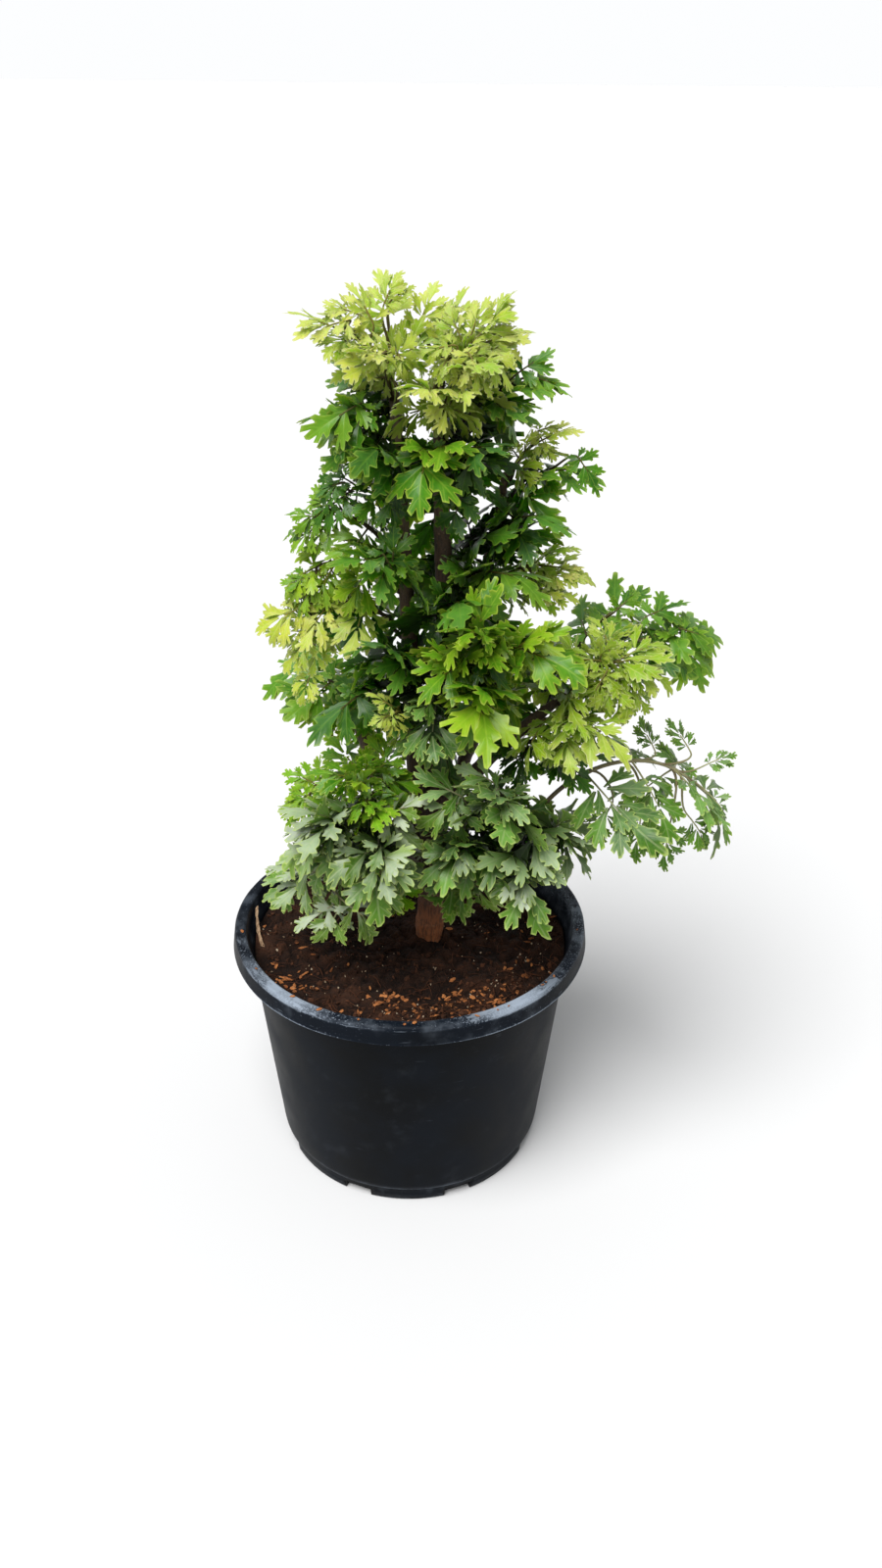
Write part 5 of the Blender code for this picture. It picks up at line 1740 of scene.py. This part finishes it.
@dataclass
class Foliage:
    """All fronds.

    Each takes the place of its plain solid and keeps its rib and the way its side branches are bent.
    """

    wood: Wood
    finishes: Finishes
    sky: Sky = field(default_factory=Sky)
    sizes: tuple[float, ...] = (1.0, 0.84, 0.7, 0.56)
    turns: tuple[float, ...] = (0, -12, 12)
    bends: tuple[float, ...] = (0, -12, 12, -24, 24, -36, 36)
    low_tip: tuple[float, float] = (0.72, 0.34)
    edge_half: float = 0.0004
    found_within: float = 0.00005
    face: tuple[float, float, float] = (0.0, -0.45, 0.9)
    lobe_fill: float = 0.34
    rib_foot: float = 0.00140
    rib_tip: float = 0.0008
    axis_foot: float = 0.00078
    axis_tip: float = 0.00042
    stalk_foot: float = 0.00100
    stalk_tip: float = 0.00045

    def draws(self) -> dict[tuple[str, int], tuple[Array, float]]:
        """The trims and leans that the solids were drawn with, in the same order: (frond, slot) to both."""
        random = np.random.default_rng(SEED)
        drawn = {}
        for order in range(1 + 2 * max(frond.pairs for frond in FRONDS)):
            for frond in FRONDS:
                if order < 1 + 2 * frond.pairs:
                    drawn[frond.name, order] = (random.uniform(-0.10, 0.10, 15), random.uniform(-6, 6))
        return drawn

    def fitted(self, bones: Skeleton, drawn: dict[tuple[str, int], tuple[Array, float]]) -> list[SideBranch]:
        """The side branches that the frond's solid has, each at the size, turn and bend that its points show.

        Args:
            bones: the frond's rib.
            drawn: the random trims and leans.

        Returns:
            The side branches.
        """
        frond, kept = bones.frond, []
        for slot in range(1 + 2 * frond.pairs):
            trim, lean = drawn[frond.name, slot]
            side, pair = (1 if slot % 2 else -1, (slot - 1) // 2) if slot else (0, 0)
            length = frond.leaf * (1.0 - 0.12 * pair)
            row, droop = (bones.roots[pair], bones.droop) if slot else (len(bones.shares) - 1, 0.0)
            for size, turn, bend in product(self.sizes, self.turns, self.bends):
                angle, pitch = ANGLES[frond.pairs][pair] + turn, lean + bend - droop
                branch = bones.branch(row, side, length * size, angle, pitch)
                if self.matches(branch, bones.solid, trim):
                    kept.append(branch)
                    break
        return kept

    def matches(self, branch: SideBranch, solid: Array, trim: Array) -> bool:
        """Whether the solid has a point at both of the branch's outer side teeth."""
        for number, sign in ((6, 1), (9, -1)):
            x, y = (v * (1 + trim[number]) for v in (self.low_tip[0], sign * self.low_tip[1]))
            slope = unit(branch.normal + branch.along * (0.40 * x) + branch.across * (1.1 * y))
            tooth = branch.at(x, y) + slope * self.edge_half
            if np.linalg.norm(solid - tooth, axis=1).min() > self.found_within:
                return False
        return True

    def build(self) -> None:
        """Finds every side branch, fills the gaps between them with smaller ones and makes the fronds."""
        drawn = self.draws()
        bones = [Skeleton(frond, self.wood) for frond in FRONDS]
        branches = [self.fitted(b, drawn) for b in bones]
        log.info("side branches fitted: %d", sum(len(b) for b in branches))
        branches = [held + self.sprays(b) for b, held in zip(bones, branches)]
        filler = Filler(self.wood, branches)
        for turn in range(max(frond.extras for frond in FRONDS)):
            for skeleton, held in zip(bones, branches):
                if turn < skeleton.frond.extras:
                    held += filler.place(skeleton, turn % 2 == 0 and skeleton.frond.tint is not LIME)
        log.info("side branches in all: %d", sum(len(b) for b in branches))
        seeds = [[SEED, len(frond.name), round(frond.height * 1e4)] for frond in FRONDS]
        randoms = [np.random.default_rng(seed) for seed in seeds]
        lobes = [self.lobes(*held) for held in zip(bones, branches, randoms)]
        self.shade(lobes)
        for held in zip(bones, branches, lobes, randoms):
            self.make(*held)

    def shade(self, lobes: list[Lobes]) -> None:
        """Gives every lobe the share of the sky that its foot and its tip see."""
        ways = [held.along * held.length[:, None] for held in lobes]
        spots = [held.foot + way * share for held, way in zip(lobes, ways) for share in (0.35, 0.6, 0.85)]
        areas = [self.lobe_fill / 3 * held.length**2 for held in lobes for _ in range(3)]
        self.sky.fill(np.vstack(spots), np.concatenate(areas))
        for held, way in zip(lobes, ways):
            lift = held.normal * 0.002
            foot, tip = held.foot + lift, held.foot + way * 0.9 + lift
            held.open = np.stack([self.sky.share(foot), self.sky.share(tip)], -1)

    def make(self, bones: Skeleton, branches: list[SideBranch], lobes: Lobes, random: Random) -> None:
        """Makes one frond: its rib, the stalks of its side branches and their leaflets."""
        frond = bones.frond
        skin = Skin("out", "beside", "edge", "tone", "under", "stalk", "age", "shift", "open")
        self.add_rib(skin, bones)
        self.add_stalks(skin, branches)
        cut = OAK if habit_of(frond) is Habit.FULL else SPOON
        points, values = lobes.surface(cut, random)
        quads, triangles = cut.faces()
        skin.add(points, quads, triangles, **values)
        piece = skin.build("leaves_" + frond.name, self.finishes.leaves[frond.tint], 70.0)
        seat(piece, frond.tint.value, "frond_" + frond.name)

    def add_rib(self, skin: Skin, bones: Skeleton) -> None:
        """The stalk and rib: a round tube that clasps the bark and swells where side branches join."""
        length, end = bones.frond.length, bones.shares[-1]
        at = np.linspace(0, end, 26)
        path = bones.point(at)
        side = bones.axes(at)[1]
        past = [(at - bones.shares[row]) * length - 0.002 for row in bones.roots]
        joints = sum(np.exp(-(way / 0.0022) ** 2) for way in past)
        girth = 1.0 + 2.2 * max(0.0, length - 0.05)
        radius = (self.rib_foot + (self.rib_tip - self.rib_foot) * at / end) * girth
        radius = radius * (1 + 0.30 * joints) + 0.0009 * np.exp(-at * length / 0.0025)
        root = bones.foot - bones.outward * (0.0006 + 0.35 * bones.radius)
        path = np.vstack([root, path])
        radius = np.concatenate([[radius[0] * 1.05], radius])
        side = np.vstack([side[:1], side])
        age = np.clip(1.05 - np.concatenate([[0], at]) / end, 0, 1) ** 0.6
        self.add_stalk(skin, path, radius, side, age, 7)

    def add_stalk(self, skin: Skin, path: Array, radius: Array, side: Array, age: Array, sides: int) -> None:
        """Adds a tube of stalk along a path, with its age and its share of the sky."""
        age, sky = np.repeat(age, sides), np.repeat(self.sky.share(path), sides)
        rings = tube(path, radius, side, sides)
        skin.add_tube(rings, len(path), sides, stalk=1.0, tone=0.5, age=age, open=sky)

    def sprays(self, bones: Skeleton) -> list[SideBranch]:
        """A frond's leaves on long stalks, each facing up and to the front."""
        made = []
        for share, *ends in SPRAYS.get(bones.frond.name, ()):
            foot, tip = np.array(ends).reshape(2, 3) / 1000
            along, face = unit(tip - foot), np.array(self.face)
            normal = unit(face - along * (along @ face))
            at = share * bones.shares[-1]
            length = float(np.linalg.norm(tip - foot))
            habit = habit_of(bones.frond, on_stalk=True)
            root, start = bones.point(at), bones.axes(at)[0]
            made.append(SideBranch(foot, along, np.cross(normal, along), normal, length, habit, root, start))
        return made

    def add_stalks(self, skin: Skin, branches: list[SideBranch]) -> None:
        """Adds the stalk of each side branch, up to where its end leaflet opens.

        A short one is a thin tube that starts inside the rib. A long one leaves along the rib and arrives
        along the leaf on a cubic curve, with a third of the way between its four handles.
        """
        for branch in sorted(branches, key=lambda held: held.root is not None):
            reach = LEAFLETS[branch.habit][0][0] + 0.03
            if branch.root is None:
                at, sides = np.linspace(0, 1, 5), 5
                path = branch.at(reach * at, 0 * at)
                path[0] -= branch.along * 0.0008
                radius, age = self.axis_foot + (self.axis_tip - self.axis_foot) * at, 0.45 * (1 - at)
            else:
                third = np.linalg.norm(branch.origin - branch.root) / 3
                t, at, sides = np.linspace(0, 1, 11)[:-1, None], np.linspace(0, 1, 4), 6
                leaving, arriving = branch.root + branch.start * third, branch.origin - branch.along * third
                curve = (1 - t) ** 3 * branch.root + 3 * (1 - t) ** 2 * t * leaving
                curve = curve + 3 * (1 - t) * t**2 * arriving + t**3 * branch.origin
                path = np.vstack([curve, branch.at(reach * at, 0 * at)])
                radius = self.stalk_tip + (self.stalk_foot - self.stalk_tip) * np.linspace(1, 0, len(path))
                age = np.linspace(0.9, 0.1, len(path))
            self.add_stalk(skin, path, radius, np.broadcast_to(branch.across, path.shape), age, sides)

    def lobes(self, bones: Skeleton, branches: list[SideBranch], random: Random) -> Lobes:
        """The lobes of a frond's leaflets.

        Each leaflet, and each lobe in it, is turned, pitched and rolled a little.
        """
        held: list[list[Any]] = [[] for _ in range(8)]
        for branch in branches:
            base = random.uniform(0.15, 0.85) + bones.frond.tone
            shift = np.clip(random.uniform(-0.5, 0.5) + bones.frond.shift, 0, 1)
            for x, direction, size, count, lift in LEAFLETS[branch.habit]:
                mirror = 1 if random.uniform() < 0.5 else -1
                pitch = lift + random.uniform(-16, 14) - 20 * x
                leaflet = Frame(branch.along, branch.across, branch.normal)
                leaflet = leaflet.turned(direction + random.uniform(-8, 8), pitch, random.uniform(-20, 20))
                foot = branch.at(x, 0.0)
                length = branch.length * size * random.uniform(0.90, 1.10)
                tone = base + random.uniform(-0.25, 0.25)
                for yaw, start, share in LOBES[count]:
                    yaw = yaw * mirror
                    turn = yaw + random.uniform(-6, 6)
                    lobe = leaflet.turned(turn, random.uniform(-9, 7) - abs(yaw) * 0.08, 0)
                    lobe = lobe.turned(0, 0, -0.30 * yaw + random.uniform(-10, 10))
                    entry = (
                        foot + leaflet.turned(yaw * 0.5, 0, 0).along * (start * length),
                        lobe.along, lobe.side, lobe.normal,
                        length * share * random.uniform(0.93, 1.07),
                        random.uniform(-0.12, 0.12) - 0.0022 * yaw,
                        np.clip(tone + random.uniform(-0.12, 0.12), 0, 1),
                        np.clip(shift + random.uniform(-0.15, 0.15), 0, 1),
                    )
                    for column, value in zip(held, entry):
                        column.append(value)
        return Lobes(*(np.array(column) for column in held))


# Nine places spread over a side branch's blade, along and across it, in shares of its length.
BLADE_X, BLADE_Y = (grid.reshape(-1) for grid in np.meshgrid((0.35, 0.65, 0.95), (-0.38, 0.0, 0.38)))


@dataclass
class Filler:
    """Finds room for more side branches, so that the foliage closes up as on the plant."""

    wood: Wood
    branches: list[list[SideBranch]]
    reach: float = 0.10
    wanted: float = 0.015
    least: float = 0.0090
    inner_share: float = 0.72
    cover_reach: float = 0.022
    cover_size: float = 0.013
    bare_below: float = 0.236
    stem_reach: float = 0.15
    stem_radius: float = 0.006
    gap: float = 0.002
    soil_radius: float = 0.104
    over_lip: float = 0.190
    over_soil: float = 0.176
    random: Random = field(default_factory=lambda: np.random.default_rng(SEED + 7))

    def __post_init__(self) -> None:
        """Samples the blades and the stems, and rings the stems with places that want cover."""
        self.taken = [branch.at(BLADE_X, BLADE_Y) for held in self.branches for branch in held]
        self.stems = np.vstack([self.wood.curve(name, 40) for name in self.wood.stems])[:, :3]
        ring = round_ring(np.radians(np.arange(0, 360, 40))) * self.cover_reach
        leafy = self.stems[self.stems[:, 2] > self.bare_below]
        self.bare = (leafy[::2, None] + ring).reshape(-1, 3)
        for spots in self.taken:
            self.cover(spots)

    def cover(self, spots: Array) -> None:
        """Drops the places round the stems that a blade now covers."""
        self.bare = self.bare[self.nearest(self.bare, spots) > self.cover_size**2]

    def candidates(self, bones: Skeleton) -> tuple[Array, Array, Array, Array]:
        """Side branches that could grow from a rib: at several shares of it, and turned round it.

        The upper side of each faces up and away from the stem.

        Returns:
            Feet, directions, upper normals and lengths, one row each.
        """
        shares, angles = (0.05, 0.22, 0.38, 0.54, 0.70, 0.88), (35, 65, 92)
        grids = np.meshgrid(shares, np.arange(0, 360, 30), angles, indexing="ij")
        at, roll, angle = (grid.reshape(-1) for grid in grids)
        along, side, normal = bones.axes(at * bones.shares[-1])
        roll = np.radians(roll + self.random.uniform(0, 30, len(roll)))[:, None]
        angle = np.radians(angle)[:, None]
        out = unit(np.cos(angle) * along + np.sin(angle) * (side * np.cos(roll) + normal * np.sin(roll)))
        up = np.array([0, 0, 1.0]) + 0.7 * bones.outward + self.random.uniform(-0.35, 0.35, (len(out), 3))
        up = unit(up - out * (up * out).sum(-1, keepdims=True))
        length = bones.frond.leaf * self.random.uniform(0.66, 0.90, len(out))
        return bones.point(at * bones.shares[-1]), out, up, length

    def place(self, bones: Skeleton, inner: bool) -> list[SideBranch]:
        """Picks the candidate with the most room.

        Args:
            bones: the frond's rib.
            inner: whether to look near the stems first.

        Returns:
            It alone, or nothing where none has room.
        """
        feet, out, up, length = self.candidates(bones)
        x, y = BLADE_X[:, None], BLADE_Y[:, None]
        blade = out[:, None] * x + np.cross(up, out)[:, None] * y - up[:, None] * (0.20 * x**2 + 0.55 * y**2)
        spots = feet[:, None] + blade * length[:, None, None]
        within = self.reach + bones.frond.length
        taken = np.concatenate(self.taken)
        taken = taken[np.linalg.norm(taken - bones.foot, axis=1) < within]
        room = np.minimum(np.sqrt(self.nearest(spots, taken)), self.wanted).mean(1)
        least = self.least * (self.inner_share if inner else 1.0)
        stems = self.stems[np.linalg.norm(self.stems - bones.foot, axis=1) < self.stem_reach]
        wood = (np.sqrt(self.nearest(spots, stems)) - self.stem_radius).min(-1)
        low, high = np.array(CAD_BOX[0]) + self.gap, np.array(CAD_BOX[1]) - self.gap
        inside = ((spots > low) & (spots < high)).all((-1, -2))
        outside_pot = np.hypot(spots[..., 0], spots[..., 1]) > self.soil_radius
        clear = (spots[..., 2] > np.where(outside_pot, self.over_lip, self.over_soil)).all(-1)
        score = room + 0.002 * up[:, 2] - (wood < self.gap) - 1.0 * ~inside - 1.0 * ~clear
        if inner:
            near = self.bare[np.linalg.norm(self.bare - bones.foot, axis=1) < within]
            if len(near):
                hidden = [(self.nearest(near, blade) < self.cover_size**2).sum() for blade in spots]
                score = score + 0.004 * np.array(hidden)
        best = int(np.argmax(score))
        if room[best] < least or score[best] < -0.5:
            return []
        self.taken.append(spots[best])
        self.cover(spots[best])
        along, normal = out[best], up[best]
        across = np.cross(normal, along)
        return [SideBranch(feet[best], along, across, normal, float(length[best]), habit_of(bones.frond))]

    def nearest(self, spots: Array, others: Array) -> Array:
        """Squared distance from each spot to the nearest of the others: a*a + b*b - 2ab."""
        product = spots.reshape(-1, 3) @ others.T
        squares = (spots.reshape(-1, 3) ** 2).sum(1)[:, None] + (others**2).sum(1) - 2 * product
        return np.clip(squares.min(1), 0, None).reshape(spots.shape[:-1])


@dataclass
class Studio:
    """A plain pale floor, soft light and a camera at the photograph's angle. The roll is in radians."""

    eye: tuple[float, float, float] = (0.0, -0.7788, 0.71725)
    pitch: float = 28.7
    yaw: float = -1.56
    roll: float = 0.01
    lens: float = 30.0
    toward: tuple[float, float, float] = (0.30, 0.50, -1.0)
    strength: float = 5.4
    spread: float = 40.0
    dimming: Pair = (0.20, 0.55)
    sky_low: Colour = (0.98, 0.99, 1.0)
    sky_high: Colour = (0.50, 0.51, 0.52)
    floor_colour: Colour = (0.50, 0.50, 0.50)
    floor_reach: float = 80.0

    def camera(self) -> None:
        """Aims the camera: forward from pitch and yaw, then its right and up turned by the roll."""
        pitch, yaw = math.radians(self.pitch), math.radians(self.yaw)
        level = math.cos(pitch)
        forward = Vector((-math.sin(yaw) * level, math.cos(yaw) * level, -math.sin(pitch)))
        right = Vector((math.cos(yaw), math.sin(yaw), 0))
        up = right.cross(forward)
        c, s = math.cos(self.roll), math.sin(self.roll)
        right, up = c * right + s * up, c * up - s * right
        data = bpy.data.cameras.new("camera")
        data.lens, data.sensor_width, data.sensor_fit = self.lens, 36.0, "AUTO"
        camera = bpy.data.objects.new("camera", data)
        rotation = Matrix((right, up, -forward)).transposed()
        camera.matrix_world = Matrix.Translation(self.eye) @ rotation.to_4x4()
        bpy.context.scene.collection.objects.link(camera)
        bpy.context.scene.camera = camera

    def light(self) -> None:
        """Adds one wide soft lamp from the front left and above."""
        data = bpy.data.lights.new("key", "SUN")
        data.energy, data.angle = self.strength, math.radians(self.spread)
        lamp = bpy.data.objects.new("key", data)
        lamp.rotation_euler = Vector(self.toward).to_track_quat("-Z", "Y").to_euler()
        bpy.context.scene.collection.objects.link(lamp)

    def world(self) -> None:
        """Makes the sky: white near the horizon and dimmer overhead."""
        world = bpy.data.worlds.new("studio")
        world.use_nodes = True
        graph = Graph(world.node_tree)
        way = graph.add("ShaderNodeTexCoord").outputs["Generated"]
        rise = graph.add("ShaderNodeSeparateXYZ", {0: way}).outputs["Z"]
        glow = graph.mix(graph.step(rise, *self.dimming), self.sky_low, self.sky_high)
        graph.feed(world.node_tree.nodes["Background"].inputs["Color"], glow)
        bpy.context.scene.world = world

    def build(self) -> None:
        """Makes the floor, the world, the lamp and the camera."""
        skin, square = Skin(), ((-1, -1), (1, -1), (1, 1), (-1, 1))
        skin.add([(x * self.floor_reach, y * self.floor_reach, -0.0002) for x, y in square], [[0, 1, 2, 3]])
        material, graph, shader = plain_material("floor")
        graph.dress(shader, {"Base Color": self.floor_colour, "Roughness": 0.9})
        skin.build("floor", material)
        self.world()
        self.light()
        bpy.context.scene.view_settings.view_transform = "Standard"
        self.camera()


def main() -> None:
    """Builds the studio and the plant, in order."""
    logging.basicConfig(level=logging.INFO, format="%(name)s %(message)s")
    Studio().build()
    finishes = Finishes()
    pot = Pot()
    pot.build(finishes.plastic)
    Soil(pot).build(finishes)
    wood = Wood()
    wood.build(finishes.bark)
    Foliage(wood, finishes).build()


if __name__ == "__main__":
    main()
